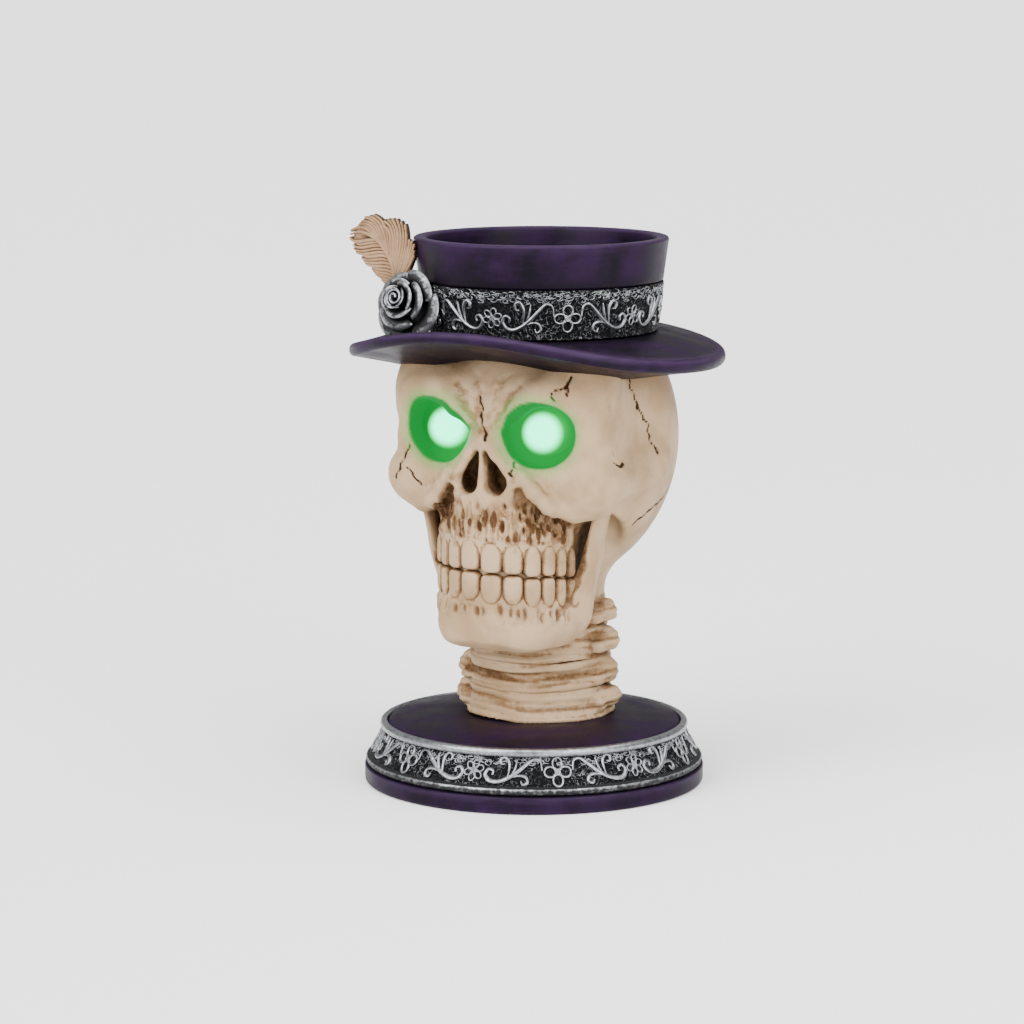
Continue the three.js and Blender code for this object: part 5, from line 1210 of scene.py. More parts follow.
def petal_loop(length, width, turn):
    """Outline of a pointed petal that starts at the middle of its flower."""
    t = np.linspace(0, 2 * math.pi, 28, endpoint=False)
    along = length * (0.5 - 0.5 * np.cos(t))
    across = width / 2 * np.sin(t) * (0.55 + 0.45 * np.abs(np.sin(t / 2)))
    cos, sin = math.cos(turn), math.sin(turn)
    return np.stack([along * cos - across * sin, along * sin + across * cos], axis=1)


def flower(x, count, start, petal_size, petal_ridge, eye_radius, eye_ridge):
    """Ridges of a flat flower: an outline round each petal, and its eye. A ridge is (width, height)."""
    turns = [2 * math.pi * i / count + start for i in range(count)]
    parts = [loop_ridge(petal_loop(*petal_size, turn) + [x, 0], *petal_ridge) for turn in turns]
    turn = np.linspace(0, 2 * math.pi, 14, endpoint=False)
    eye = np.stack([x + eye_radius * np.cos(turn), eye_radius * np.sin(turn)], axis=1)
    return [*parts, loop_ridge(eye, *eye_ridge)]


# Scrolls of half a repeat, right of the flower, as (along, up) from the flower's middle, with a width
SCROLLS = (
    (((4.5, 0.4), (5.0, 2.8), (6.9, 3.4), (9.2, 1.9), (11.8, -0.1), (14.6, -1.8), (17.4, -2.7), (19.8, -2.4),
      (21.1, -0.9), (20.2, 0.5), (18.8, 0.1), (18.9, -0.9)), 1.3),
    (((14.6, -1.8), (14.1, 0.5), (14.2, 2.5), (15.3, 3.8), (16.7, 3.4), (16.6, 2.1), (15.6, 2.0)), 1.05),
    (((13.6, -1.3), (12.3, 1.1), (11.8, 3.4)), 0.75),
    (((14.4, -1.8), (11.5, -1.0), (9.3, -1.3), (8.7, -2.7), (10.0, -3.3), (10.6, -2.4)), 1.0),
)
SCROLL_REPEAT = 24.6
SCROLL_HEIGHT = 0.75
LACE_RIDGE = (0.32, 0.36)


def motif(half_length, lift, lace_count, lace_span, seed):
    """One repeat of the ornament, laid flat: a flower, scrolls beside it, a rosette and fine lace."""
    rng = np.random.default_rng(seed)
    stretch = half_length / SCROLL_REPEAT
    parts = []
    for line, width in SCROLLS:
        for side in (1, -1):
            path = smooth_line([(side * x * stretch, lift * y) for x, y in line], 7)
            parts.append(ridge(path, width, SCROLL_HEIGHT, (0.45, 0.55)))
    parts += flower(0, 4, 0.0, (3.8, 3.1), (0.7, 0.6), 0.7, (0.62, 0.75))
    parts += flower(half_length, 6, 0.3, (2.9, 1.9), (0.46, 0.5), 0.6, (0.5, 0.6))
    for _ in range(lace_count):
        x, y = rng.uniform(-half_length, half_length), rng.uniform(*lace_span)
        turn, reach = rng.uniform(0, 2 * math.pi), rng.uniform(0.5, 1.0)
        curl = [(x + reach * (0.5 + 0.35 * s) * math.cos(turn + s),
                 y + reach * (0.3 + 0.2 * s) * math.sin(turn + s)) for s in np.linspace(0, 3.6, 5)]
        parts.append(ridge(smooth_line(curl, 2), *LACE_RIDGE))
    return merged(parts)


def wrap_tree():
    """Node tree that repeats a flat motif along a line and wraps the strip round a cone."""
    tree = bpy.data.node_groups.new("wrap_relief", "GeometryNodeTree")
    numbers = ("Half Length", "Foot Radius", "Radius Rise", "Middle Height", "Start Angle", "Axis Y")
    inputs = [("Geometry", "Geometry"), ("Repeats", "Int"), *((name, "Float") for name in numbers)]
    for name, kind in [*inputs, ("Paint", "Material")]:
        tree.interface.new_socket(name, in_out="INPUT", socket_type=f"NodeSocket{kind}")
    tree.interface.new_socket("Geometry", in_out="OUTPUT", socket_type="NodeSocketGeometry")
    given = tree.nodes.new("NodeGroupInput").outputs

    def calc(operation, a, b=0.0):
        """A sum in this tree."""
        return sums(tree, operation, a, b)

    def add_node(kind, **links):
        """Outputs of a new node in this tree."""
        return wired(tree, kind, **links).outputs

    pitch = calc("MULTIPLY", given["Half Length"], 2.0)
    step = add_node("ShaderNodeCombineXYZ", X=pitch)[0]
    line = add_node("GeometryNodeMeshLine", Count=given["Repeats"], Offset=step)[0]
    copies = add_node("GeometryNodeInstanceOnPoints", Points=line, Instance=given["Geometry"])[0]
    strip = add_node("GeometryNodeRealizeInstances", Geometry=copies)[0]
    where = add_node("GeometryNodeInputPosition")[0]
    along, up, out = add_node("ShaderNodeSeparateXYZ", Vector=where)
    turn = calc("MULTIPLY", calc("DIVIDE", along, calc("MULTIPLY", pitch, given["Repeats"])), 2 * math.pi)
    angle = calc("ADD", turn, given["Start Angle"])
    ground = calc("ADD", given["Foot Radius"], calc("MULTIPLY", up, given["Radius Rise"]))
    radius = calc("ADD", ground, out)
    x = calc("MULTIPLY", radius, calc("SINE", angle))
    y = calc("SUBTRACT", given["Axis Y"], calc("MULTIPLY", radius, calc("COSINE", angle)))
    bent = add_node("ShaderNodeCombineXYZ", X=x, Y=y, Z=calc("ADD", up, given["Middle Height"]))[0]
    moved = add_node("GeometryNodeSetPosition", Geometry=strip, Position=bent)[0]
    coated = add_node("GeometryNodeSetMaterial", Geometry=moved, Material=given["Paint"])[0]
    add_node("NodeGroupOutput", Geometry=coated)
    return tree


def wrapped(name, flat, **inputs):
    """Run the wrapping tree on a flat motif and return the plain mesh."""
    points, faces = flat
    mesh = make_mesh(name, points, faces, {"valley": 0.9 * ramp(-points[:, 2], -0.34, -0.02)})
    holder = in_scene(name, weld(mesh))
    modifier = holder.modifiers.new("wrap", "NODES")
    modifier.node_group = wrap_tree()
    sockets = modifier.node_group.interface.items_tree
    named = {item.name: item.identifier for item in sockets if item.in_out == "INPUT"}
    for key, value in inputs.items():
        modifier[named[key.replace("_", " ").title()]] = value
    holder.update_tag()
    result = baked(holder, name)
    result.shade_smooth()
    return result


def relief_round(name, repeats, radius, slope, middle, turn, axis_y, **ornament):
    """Wrap repeats of the ornament round a cone, from an angle in degrees, and place them."""
    half = math.pi * radius / repeats
    relief = wrapped(name, motif(half, **ornament), paint=shared(rubbed_silver), repeats=repeats,
                     half_length=half * MM, foot_radius=radius * MM, radius_rise=slope,
                     middle_height=middle * MM, start_angle=math.radians(turn), axis_y=axis_y * MM)
    place(relief, None, None)


# Rose and plume

ROSE_CENTRE = np.array([-27.6, -25.2, SKULL_Z + 86.0])
ROSE_NORMAL = np.array([-0.12, -0.97, 0.2])
ROSE_NORMAL /= np.linalg.norm(ROSE_NORMAL)
ROSE_RIGHT = np.cross([0, 0, 1], ROSE_NORMAL)
ROSE_RIGHT /= np.linalg.norm(ROSE_RIGHT)
ROSE_UP = np.cross(ROSE_NORMAL, ROSE_RIGHT)
ROSE_DEPTH = 3.4
CUSHION_RADIUS = 7.2
BUD_TURNS = 1.7
PETAL_THICKNESS = 0.75
# Petals from the bud outwards: middle angle, half span, lip radius, lip height, roll, shift right, shift up
ROSE_PETALS = (
    (100, 80, 2.7, 7.0, 0.4, -1.6, 1.9),
    (220, 80, 2.9, 6.8, 0.5, -1.6, 1.9),
    (345, 80, 3.1, 6.7, 0.5, -1.6, 1.9),
    (165, 68, 4.6, 5.9, 0.7, -1.3, 1.4),
    (268, 70, 4.8, 5.6, 1.0, -1.3, 1.4),
    (30, 74, 5.0, 6.1, 0.9, -1.3, 1.4),
    (122, 56, 6.4, 4.9, 1.2, -1.0, 1.0),
    (8, 56, 7.0, 5.1, 1.4, -0.8, 0.8),
    (240, 66, 6.9, 4.2, 1.8, -1.0, 0.8),
    (52, 46, 9.1, 3.7, 1.9, -0.2, 0.5),
    (338, 50, 9.7, 2.7, 1.9, 0.2, 0.0),
    (218, 50, 9.3, 2.2, 1.7, -0.2, -0.3),
    (278, 46, 9.9, 1.6, 1.7, 0.2, -0.4),
    (166, 42, 8.9, 2.6, 1.4, -0.2, 0.2),
    (108, 40, 8.4, 3.2, 1.2, -0.2, 0.6),
)


def rose_point(right, up, out):
    """A place on the rose in the frame."""
    return (ROSE_CENTRE + np.multiply.outer(right, ROSE_RIGHT) + np.multiply.outer(up, ROSE_UP)
            + np.multiply.outer(out, ROSE_NORMAL))


def petal(middle, half_span, lip, height, roll, right, up):
    """One cupped petal with a rolled lip: points, faces and depth of shade."""
    rows, columns = 15, 17
    across = np.linspace(-1, 1, columns)[None, :]
    along = np.linspace(0, 1, rows)[:, None]
    turn = math.radians(middle) + math.radians(half_span) * across * (0.55 + 0.45 * along ** 0.5)
    trim = 1 - 0.16 * np.abs(across) ** 3
    radius = (0.28 * lip + 0.72 * lip * along ** 0.75 * trim) + 0.35 * across * along
    out = -ROSE_DEPTH + (height + ROSE_DEPTH) * np.sin(0.5 * math.pi * along) ** 0.9 * trim
    curl = ramp(along, 0.68, 1.0)
    radius = radius + roll * curl * (0.75 - 0.3 * np.abs(across))
    out = out - 0.75 * roll * curl ** 2
    points = rose_point(right + radius * np.cos(turn), up + radius * np.sin(turn), out + 0 * turn)
    valley = np.repeat(1 - ramp(along, 0.64, 1.1), columns, axis=1)
    return points.reshape(-1, 3), sheet_faces(rows, columns), valley.ravel()


def rose_bud():
    """The wound heart of the rose."""
    turns, columns = 64, 8
    wind = np.linspace(0, BUD_TURNS * 2 * math.pi, turns)[:, None]
    radius = 0.35 + 2.1 * (wind / wind[-1]) ** 0.8
    rise = np.linspace(0, 1, columns)[None, :]
    spread = radius * (0.75 + 0.3 * rise) + 0.15 * ramp(rise, 0.7, 1.0)
    out = -2 + (9.6 - 0.25 * radius) * rise - 0.2 * ramp(rise, 0.8, 1.0)
    points = rose_point(-1.3 + spread * np.cos(wind), 1.9 + spread * np.sin(wind), out)
    valley = np.repeat(1 - ramp(rise, 0.78, 0.99), turns, axis=0)
    return points.reshape(-1, 3), sheet_faces(turns, columns), valley.ravel()


def rose_cushion():
    """The black dome that closes the gaps behind the petals."""
    rows, columns = 10, 32
    bend = np.linspace(0.05, math.pi / 2, rows)[:, None]
    turn = np.linspace(0, 2 * math.pi, columns, endpoint=False)[None, :]
    spread = CUSHION_RADIUS * np.sin(bend)
    out = ROSE_DEPTH * np.cos(bend) - ROSE_DEPTH + 0 * turn
    points = rose_point(spread * np.cos(turn), spread * np.sin(turn), out)
    return points.reshape(-1, 3), sheet_faces(rows, columns, closed_columns=True), np.ones(rows * columns)


def rose_shell():
    """The whole rose: bud, petals and the cushion behind them."""
    parts, shades = [], []
    for part in [rose_cushion(), rose_bud(), *(petal(*values) for values in ROSE_PETALS)]:
        parts.append(part[:2])
        shades.append(part[2])
    points, faces = merged(parts)
    mesh = make_mesh("rose_shell", points, faces, {"valley": np.concatenate(shades)})
    holder = in_scene("rose_shell", mesh)
    wall = holder.modifiers.new("wall", "SOLIDIFY")
    wall.thickness = PETAL_THICKNESS * MM
    wall.offset = 0
    soft = holder.modifiers.new("soft", "SUBSURF")
    soft.levels = soft.render_levels = 1
    return baked(holder, "rose_shell")


# The plume's quill, right edge and left edge, as (x, z) seen from the front
PLUME_QUILL = ((-33.4, 141.5), (-34.7, 146.5), (-36.9, 153.7), (-41.2, 159.0), (-46.5, 161.0),
               (-50.2, 160.2))
PLUME_RIGHT = ((-32.4, 144.5), (-29.8, 151.0), (-28.8, 157.5), (-31.5, 163.0), (-36.5, 165.8),
               (-42.0, 166.2), (-47.0, 164.6), (-50.4, 161.2))
PLUME_LEFT = ((-34.9, 143.0), (-38.6, 146.2), (-42.6, 149.6), (-46.4, 152.9), (-49.3, 156.0),
              (-50.7, 159.2))
# Each vane's edge, way round, count of barbs, count of lobes, and share of the quill that a barb runs along
PLUME_VANES = ((PLUME_RIGHT, 1, 27, 4.0, 0.44), (PLUME_LEFT, -1, 21, 5.0, 0.34))
PLUME_Y = -18.4
# Depth of the notches between lobes, as a share of the vane's width
LOBE_DEPTH = 0.34


def along_line(points, share):
    """Places on a smooth curve at shares of its length."""
    line = smooth_line(points, 24)
    gone = run_length(line)
    return at_length(line, gone, share * gone[-1])


def lobe_cut(share, lobes):
    """How far the edge draws in at a share of its length: each lobe ends in a notch."""
    return LOBE_DEPTH * ((lobes * share) % 1.0) ** 3


def plume_vane(edge, lobes):
    """The thin vane between the quill and one lobed edge, under the barbs: front points, row by row."""
    share = np.linspace(0, 1, 90)
    out = np.linspace(0, 1, 12)
    reach = np.outer(0.95 - lobe_cut(share, lobes), out)
    quill = along_line(PLUME_QUILL, np.clip(0.04 + 0.9 * share, 0, 1))
    flat = quill[:, None, :] + (along_line(edge, share) - quill)[:, None, :] * reach[:, :, None]
    return flat, np.tile(1.15 * (1 - 0.8 * out ** 1.5), (len(share), 1))


def plume_barbs(edge, count, lobes, sweep, rng):
    """Flat paths of the barbs of one vane: each runs along the quill, then bends out to a lobed edge."""
    paths = []
    for share in np.linspace(0.0, 1.0, count):
        root = max(0.0, share - sweep)
        start, rise = along_line(PLUME_QUILL, 0.05 + 0.88 * np.array([root, root + 0.45 * sweep]))
        under, end = along_line(edge, np.array([max(0.0, share - 0.17), share]))
        bend = rise + 0.85 * (under - rise)
        end = rise + (end - rise) * (0.99 - lobe_cut(share, lobes) + rng.uniform(-0.02, 0.02))
        t = np.linspace(0, 1, 14)[:, None]
        paths.append((1 - t) ** 3 * start + 3 * t * (1 - t) ** 2 * rise
                     + 3 * t ** 2 * (1 - t) * bend + t ** 3 * end)
    return paths


def plume_solid(flat, rise, side):
    """Points of the plume from flat places and heights, on its front (1) or back (-1)."""
    y = PLUME_Y - 0.05 * (flat[..., 0] + 40) - side * rise
    return np.stack([flat[..., 0], y, flat[..., 1]], axis=-1)


def plume_shell():
    """The tan plume: a thin dark vane under carved barbs on both sides of a curled quill."""
    rng = np.random.default_rng(5)
    parts, shades = [], []
    for edge, turn, count, lobes, sweep in PLUME_VANES:
        flat, rise = plume_vane(edge, lobes)
        loop = np.concatenate([plume_solid(flat, rise, 1), plume_solid(flat, rise, -1)[:, ::-1]], axis=1)
        for end in (0, -1):
            loop[end] = loop[end].mean(axis=0)
        faces = sheet_faces(*loop.shape[:2], closed_columns=True)
        parts.append((loop.reshape(-1, 3), faces[:, ::turn]))
        tip = ramp(np.linspace(0, 1, len(loop)), 0.78, 0.92)
        shades.append(np.repeat(0.85 - 0.55 * tip, loop.shape[1]))
        for path in plume_barbs(edge, count, lobes, sweep, rng):
            points, faces = ridge(path, rng.uniform(1.0, 1.3), rng.uniform(0.75, 1.1), (0.35, 0.75))
            ground = 1.1 - 0.75 * np.linspace(0, 1, len(points)) ** 1.5
            tone = rng.uniform(-0.15, 0.2)
            for side in (1, -1):
                parts.append((plume_solid(points[:, :2], ground + points[:, 2], side), faces[:, ::side]))
                shades.append(np.clip(0.95 - 1.15 * points[:, 2] + tone, 0, 1))
    quill = along_line(PLUME_QUILL, np.linspace(0, 1, 40))
    for side in (1, -1):
        points, faces = ridge(quill, 1.5, 0.9, (1.0, 0.4))
        parts.append((plume_solid(points[:, :2], 1.1 + points[:, 2], side), faces[:, ::side]))
        shades.append(np.clip(0.5 - points[:, 2], 0, 1))
    points, faces = merged(parts)
    return weld(make_mesh("plume_shell", points, faces, {"valley": np.concatenate(shades)}))


# Eyes

# Way that the lights in the eyes point
LIGHT_AIM = np.array([0.34, -0.93, 0.14])
LENS_SKIRT = 6


def lens_shell(side, name):
    """The lit dome in one socket, closed at the back."""
    rows, columns = 26, 48
    centre_y = -EYE_FRONT + LENS_RADIUS
    bend = np.linspace(0, math.pi / 2, rows)
    radius = np.concatenate([LENS_RADIUS * np.sin(bend), [LENS_RADIUS, 0.0]])
    depth = np.concatenate([centre_y - LENS_RADIUS * np.cos(bend), [centre_y + LENS_SKIRT] * 2])
    turn = np.linspace(0, 2 * math.pi, columns, endpoint=False)
    points = np.stack([
        side * EYE_X + np.outer(np.cos(turn), radius),
        np.tile(depth, (columns, 1)),
        SKULL_Z + EYE_Z + np.outer(np.sin(turn), radius),
    ], axis=-1).reshape(-1, 3)
    faces = sheet_faces(columns, len(radius), closed_rows=True)
    outward = (points - [side * EYE_X, centre_y, SKULL_Z + EYE_Z]) / LENS_RADIUS
    facing = np.clip(outward @ LIGHT_AIM, 0, 1)
    return weld(make_mesh(name, points, faces, {"rim": np.sqrt(1 - facing ** 2)}))


# Painted materials

# Sockets of a colour mix
MIX_FACTOR = 0
MIX_A = 6
MIX_B = 7
MIX_RESULT = 2
# Brown stain, also the colour of painted shade
STAIN_AND_SHADE = (0.135, 0.068, 0.028)
CRACK = (0.016, 0.007, 0.003)
# Near black green of the sockets, so that they show only the painted green light
UNLIT_SOCKET = (0.0, 0.02, 0.003)
BRUSHED_PURPLE = (0.019, 0.0078, 0.029)
# Lighter purple of worn edges and painted highlights
RUBBED_AND_LIT_PURPLE = (0.03, 0.016, 0.042)
DULL_SILVER = (0.14, 0.145, 0.155)
PALE_TAN = (0.29, 0.18, 0.1)
WARM_FURROW = (0.11, 0.046, 0.017)
DEEP_FURROW = (0.026, 0.012, 0.006)
DOME_SHELL = (0.0, 0.03, 0.01)
DOME_MIDDLE = (0.0, 1.0, 0.5)
DOME_RIM = (0.0, 1.0, 0.13)


def plug(tree, value, socket):
    """Link an output to a socket, or set the socket's own value."""
    if isinstance(value, bpy.types.NodeSocket):
        tree.links.new(value, socket)
    elif isinstance(socket, bpy.types.NodeSocketColor) and len(value) == 3:
        socket.default_value = (*value, 1.0)
    else:
        socket.default_value = value


def dress(tree, node, **inputs):
    """Link or set a node's inputs by name, where an underscore stands for a space."""
    for key, value in inputs.items():
        plug(tree, value, node.inputs[key.replace("_", " ")])


def wired(tree, kind, **inputs):
    """A new node with its inputs linked or set."""
    node = tree.nodes.new(kind)
    dress(tree, node, **inputs)
    return node


def new_paint(name, gloss):
    """A new material, its node tree and its shader."""
    material = bpy.data.materials.new(name)
    material.use_nodes = True
    shader = material.node_tree.nodes["Principled BSDF"]
    dress(material.node_tree, shader, Specular_IOR_Level=gloss)
    return material, material.node_tree, shader


def mixed(tree, factor, a, b):
    """A blend of two colours."""
    node = tree.nodes.new("ShaderNodeMix")
    node.data_type = "RGBA"
    plug(tree, factor, node.inputs[MIX_FACTOR])
    plug(tree, a, node.inputs[MIX_A])
    plug(tree, b, node.inputs[MIX_B])
    return node.outputs[MIX_RESULT]


def sums(tree, operation, a, b=0.0):
    """The outcome of a sum on two values."""
    node = tree.nodes.new("ShaderNodeMath")
    node.operation = operation
    plug(tree, a, node.inputs[0])
    plug(tree, b, node.inputs[1])
    return node.outputs[0]


def span(tree, value, low, high, start=0.0, end=1.0):
    """A smooth step of a value between two marks."""
    node = wired(tree, "ShaderNodeMapRange", Value=value, From_Min=low, From_Max=high,
                 To_Min=start, To_Max=end)
    node.interpolation_type = "SMOOTHSTEP"
    return node.outputs[0]


def painted(tree, key):
    """A value that the mesh carries at each point."""
    node = tree.nodes.new("ShaderNodeAttribute")
    node.attribute_name = key
    return node.outputs["Fac"]


def own_place(tree, stretch):
    """The piece's own coordinates, stretched along its axes."""
    where = tree.nodes.new("ShaderNodeTexCoord").outputs["Object"]
    return wired(tree, "ShaderNodeMapping", Vector=where, Scale=stretch).outputs[0]


def mottle(tree, size, detail=4.0, roughness=0.55, stretch=(1, 1, 1)):
    """Noise of a feature size in millimetres."""
    where = own_place(tree, stretch)
    scale = 1 / (size * MM)
    node = wired(tree, "ShaderNodeTexNoise", Vector=where, Scale=scale, Detail=detail, Roughness=roughness)
    return node.outputs["Fac"]


def pores(tree, size, stretch):
    """Close-set oval pits of a size in millimetres: 1 in the middle of each, 0 on the ridges between."""
    node = wired(tree, "ShaderNodeTexVoronoi", Vector=own_place(tree, stretch), Scale=1 / (size * MM))
    return span(tree, node.outputs["Distance"], 0.25, 0.7, 1.0, 0.0)


def rough_cast(tree, shader, height, strength, depth):
    """Fine relief of a pattern, with its depth in millimetres."""
    node = wired(tree, "ShaderNodeBump", Strength=strength, Distance=depth * MM, Height=height)
    dress(tree, shader, Normal=node.outputs[0])


def aged_bone():
    """Cream resin: pale and darker in patches, brown wash with painted shade in the hollows, dark in the
    cracks, and the eyes' painted green light glowing in the sockets.
    """
    material, tree, shader = new_paint("aged_bone", 0.04)
    paint = colours()
    patches = mottle(tree, 14, 3.0)
    grain = mottle(tree, 1.6, 6.0, 0.65)
    root = painted(tree, "root")
    strands = sums(tree, "MULTIPLY", root, mottle(tree, 0.9, 3.0, 0.6, (1, 1, 0.14)))
    pits = sums(tree, "MULTIPLY", root, pores(tree, 2.3, (1, 1, 0.42)))
    stain = span(tree, mottle(tree, 6, 5.0, 0.65), 0.4, 0.78, 0.0, 0.42)
    base = mixed(tree, span(tree, patches, 0.35, 0.68), paint.bone_pale, paint.bone)
    # Brown wash and painted shade from the mesh, with grain, strands and pits
    wash_shade_and_grain = sums(tree, "ADD", painted(tree, "wash_and_shade"), span(tree, grain, 0.25, 0.75, -0.16, 0.16))
    wash_shade_and_grain = sums(tree, "ADD", wash_shade_and_grain, span(tree, strands, 0.4, 0.66, -0.06, 0.24))
    wash_shade_and_grain = sums(tree, "ADD", wash_shade_and_grain, span(tree, pits, 0.35, 0.95, -0.16, 0.46))
    # Stain and painted shade, toward brown
    stained_and_shaded = mixed(tree, span(tree, sums(tree, "ADD", wash_shade_and_grain, stain), 0.1, 0.6, 0.0, 0.75), base, STAIN_AND_SHADE)
    wash_shaded = mixed(tree, span(tree, wash_shade_and_grain, 0.42, 0.98, 0.0, 0.95), stained_and_shaded, paint.wash_and_shade)
    specks = span(tree, mottle(tree, 0.8, 2.0), 0.74, 0.8, 0.0, 0.55)
    speckled = mixed(tree, specks, wash_shaded, paint.wash_and_shade)
    cracked = mixed(tree, span(tree, painted(tree, "crack"), 0.25, 0.8), speckled, CRACK)
    # Painted green light of the eyes: the sockets darkened, the bone glowing green
    dress(tree, shader, Base_Color=mixed(tree, painted(tree, "socket"), cracked, UNLIT_SOCKET),
          Emission_Color=paint.green, Emission_Strength=painted(tree, "glow"),
          Roughness=span(tree, wash_shade_and_grain, 0.2, 0.9, 0.44, 0.62))
    relief = sums(tree, "SUBTRACT", sums(tree, "ADD", grain, strands), sums(tree, "MULTIPLY", pits, 1.6))
    rough_cast(tree, shader, relief, 0.45, 0.45)
    return material


def satin_purple():
    """Satin purple over dark: lighter on worn edges and painted edge highlights, and near black in the
    corners as painted shade.
    """
    material, tree, shader = new_paint("satin_purple", 0.06)
    paint = colours()
    cloud = mottle(tree, 11, 4.0)
    brush = mottle(tree, 3.0, 5.0, 0.6, (0.35, 0.35, 2.6))
    base = mixed(tree, span(tree, cloud, 0.3, 0.72), paint.purple_dark, paint.purple)
    brushed = mixed(tree, span(tree, brush, 0.48, 0.78, 0.0, 0.3), base, BRUSHED_PURPLE)
    # Wear and painted highlight on the edges
    worn = sums(tree, "MULTIPLY", painted(tree, "rub_and_highlight"), span(tree, brush, 0.2, 0.6, 0.35, 1.0))
    rubbed_and_lit = mixed(tree, worn, brushed, RUBBED_AND_LIT_PURPLE)
    # Painted shade from the mesh, toward dark purple
    dress(tree, shader, Base_Color=mixed(tree, painted(tree, "shade"), rubbed_and_lit, paint.purple_dark),
          Roughness=span(tree, cloud, 0.3, 0.7, 0.36, 0.5))
    rough_cast(tree, shader, mottle(tree, 1.1, 5.0, 0.6), 0.16, 0.25)
    return material


def rubbed_silver():
    """Rubbed silver over black: the black is left in the valleys."""
    material, tree, shader = new_paint("rubbed_silver", 0.3)
    paint = colours()
    grain = mottle(tree, 1.3, 5.0, 0.6)
    worn = sums(tree, "ADD", painted(tree, "valley"), span(tree, grain, 0.3, 0.75, -0.12, 0.2))
    base = mixed(tree, span(tree, grain, 0.3, 0.7), paint.silver, DULL_SILVER)
    dress(tree, shader, Base_Color=mixed(tree, span(tree, worn, 0.3, 0.78), base, paint.black),
          Roughness=span(tree, worn, 0.3, 0.8, 0.3, 0.6), Metallic=span(tree, worn, 0.35, 0.8, 0.9, 0.1))
    rough_cast(tree, shader, grain, 0.2, 0.2)
    return material


def dabbed_black():
    """Black ground of the relief, dabbed with silver."""
    material, tree, shader = new_paint("dabbed_black", 0.05)
    paint = colours()
    zones = mottle(tree, 7.0, 2.0)
    where = sums(tree, "ADD", mottle(tree, 0.6, 3.0, 0.6), span(tree, zones, 0.35, 0.7, -0.16, 0.06))
    curls = sums(tree, "ABSOLUTE", sums(tree, "SUBTRACT", mottle(tree, 1.5, 1.5, 0.6), 0.5))
    share = span(tree, zones, 0.35, 0.6, 0.05, 0.45)
    lines = sums(tree, "MULTIPLY", span(tree, curls, 0.006, 0.03, 1.0, 0.0), share)
    silver = sums(tree, "MAXIMUM", span(tree, where, 0.68, 0.76, 0.0, 0.6), lines)
    dress(tree, shader, Base_Color=mixed(tree, silver, paint.black, paint.silver),
          Metallic=sums(tree, "MULTIPLY", silver, 0.8), Roughness=span(tree, silver, 0.0, 1.0, 0.55, 0.36))
    rough_cast(tree, shader, sums(tree, "ADD", where, lines), 0.8, 0.6)
    return material


def carved_tan():
    """Tan plume with brown in the furrows between its barbs."""
    material, tree, shader = new_paint("carved_tan", 0.25)
    grain = mottle(tree, 1.2, 5.0, 0.6)
    base = mixed(tree, span(tree, mottle(tree, 8, 3.0), 0.3, 0.7), colours().tan, PALE_TAN)
    furrow = sums(tree, "ADD", painted(tree, "valley"), span(tree, grain, 0.3, 0.7, -0.1, 0.1))
    warm = mixed(tree, span(tree, furrow, 0.15, 0.6, 0.0, 0.85), base, WARM_FURROW)
    deep = mixed(tree, span(tree, furrow, 0.5, 0.8), warm, DEEP_FURROW)
    dress(tree, shader, Base_Color=deep, Roughness=0.56)
    rough_cast(tree, shader, grain, 0.25, 0.25)
    return material


def lit_dome():
    """Milky dome lit from behind: pale mint in the middle, bright green at its rim."""
    material, tree, shader = new_paint("lit_dome", 0.05)
    rim = painted(tree, "rim")
    dress(tree, shader, Base_Color=DOME_SHELL, Roughness=0.3,
          Emission_Color=mixed(tree, span(tree, rim, 0.58, 0.99), DOME_MIDDLE, DOME_RIM),
          Emission_Strength=span(tree, rim, 0.52, 1.0, 6.0, 0.45))
    return material


def plain_finish(name, tint, roughness, metallic, grain_size):
    """A moulded or drawn finish of one tint, with a fine grain."""
    material, tree, shader = new_paint(name, 0.5)
    grain = mottle(tree, grain_size)
    darker = tuple(0.7 * part for part in tint)
    dress(tree, shader, Base_Color=mixed(tree, span(tree, grain, 0.3, 0.7), tint, darker), Metallic=metallic,
          Roughness=span(tree, grain, 0.3, 0.7, roughness - 0.06, roughness + 0.08))
    rough_cast(tree, shader, grain, 0.15, 0.15)
    return material


def shared(maker):
    """The material that a maker makes, made once."""
    return bpy.data.materials.get(maker.__name__) or maker()


# Finishes of the frame's own pieces: tint, roughness, metal, size of grain, and the nodes that have them
INNER_FINISHES = {
    "moulded_black": ((0.02, 0.019, 0.022), 0.45, 0.0, 0.6, (
        "led_holder_left", "led_holder_right", "battery_box", "battery_door", "switch_body", "switch_slider",
    )),
    "sleeve_black": ((0.03, 0.028, 0.03), 0.55, 0.0, 1.2, ("led_lead_left", "led_lead_right", "power_lead")),
    "drawn_steel": ((0.6, 0.61, 0.63), 0.3, 1.0, 0.4, (
        "coin_cell_lower", "coin_cell_upper", "contact_spring", "contact_side", "door_screw",
    )),
    "clear_green": ((0.25, 0.85, 0.5), 0.2, 0.0, 2.0, ("led_left", "led_right")),
}


# Stage: the floor in millimetres, lights and camera in metres

FLOOR_REACH = 20000
FLOOR_Z = -0.1
FLOOR_TINT = (0.95, 0.95, 0.95)
AIR_STRENGTH = 0.5
LIGHT_TARGET = (0, 0, 0.09)
# Name, kind, place, breadth (a sun's angle or a panel's side) and power
LIGHTS = (
    ("key_light", "SUN", (-0.35, -0.9, 0.6), math.radians(50), 4.6),
    ("top_light", "SUN", (0.2, -0.15, 1.1), math.radians(80), 4.6),
    ("fill_light", "AREA", (0.95, -0.55, 0.4), 0.8, 15.0),
)
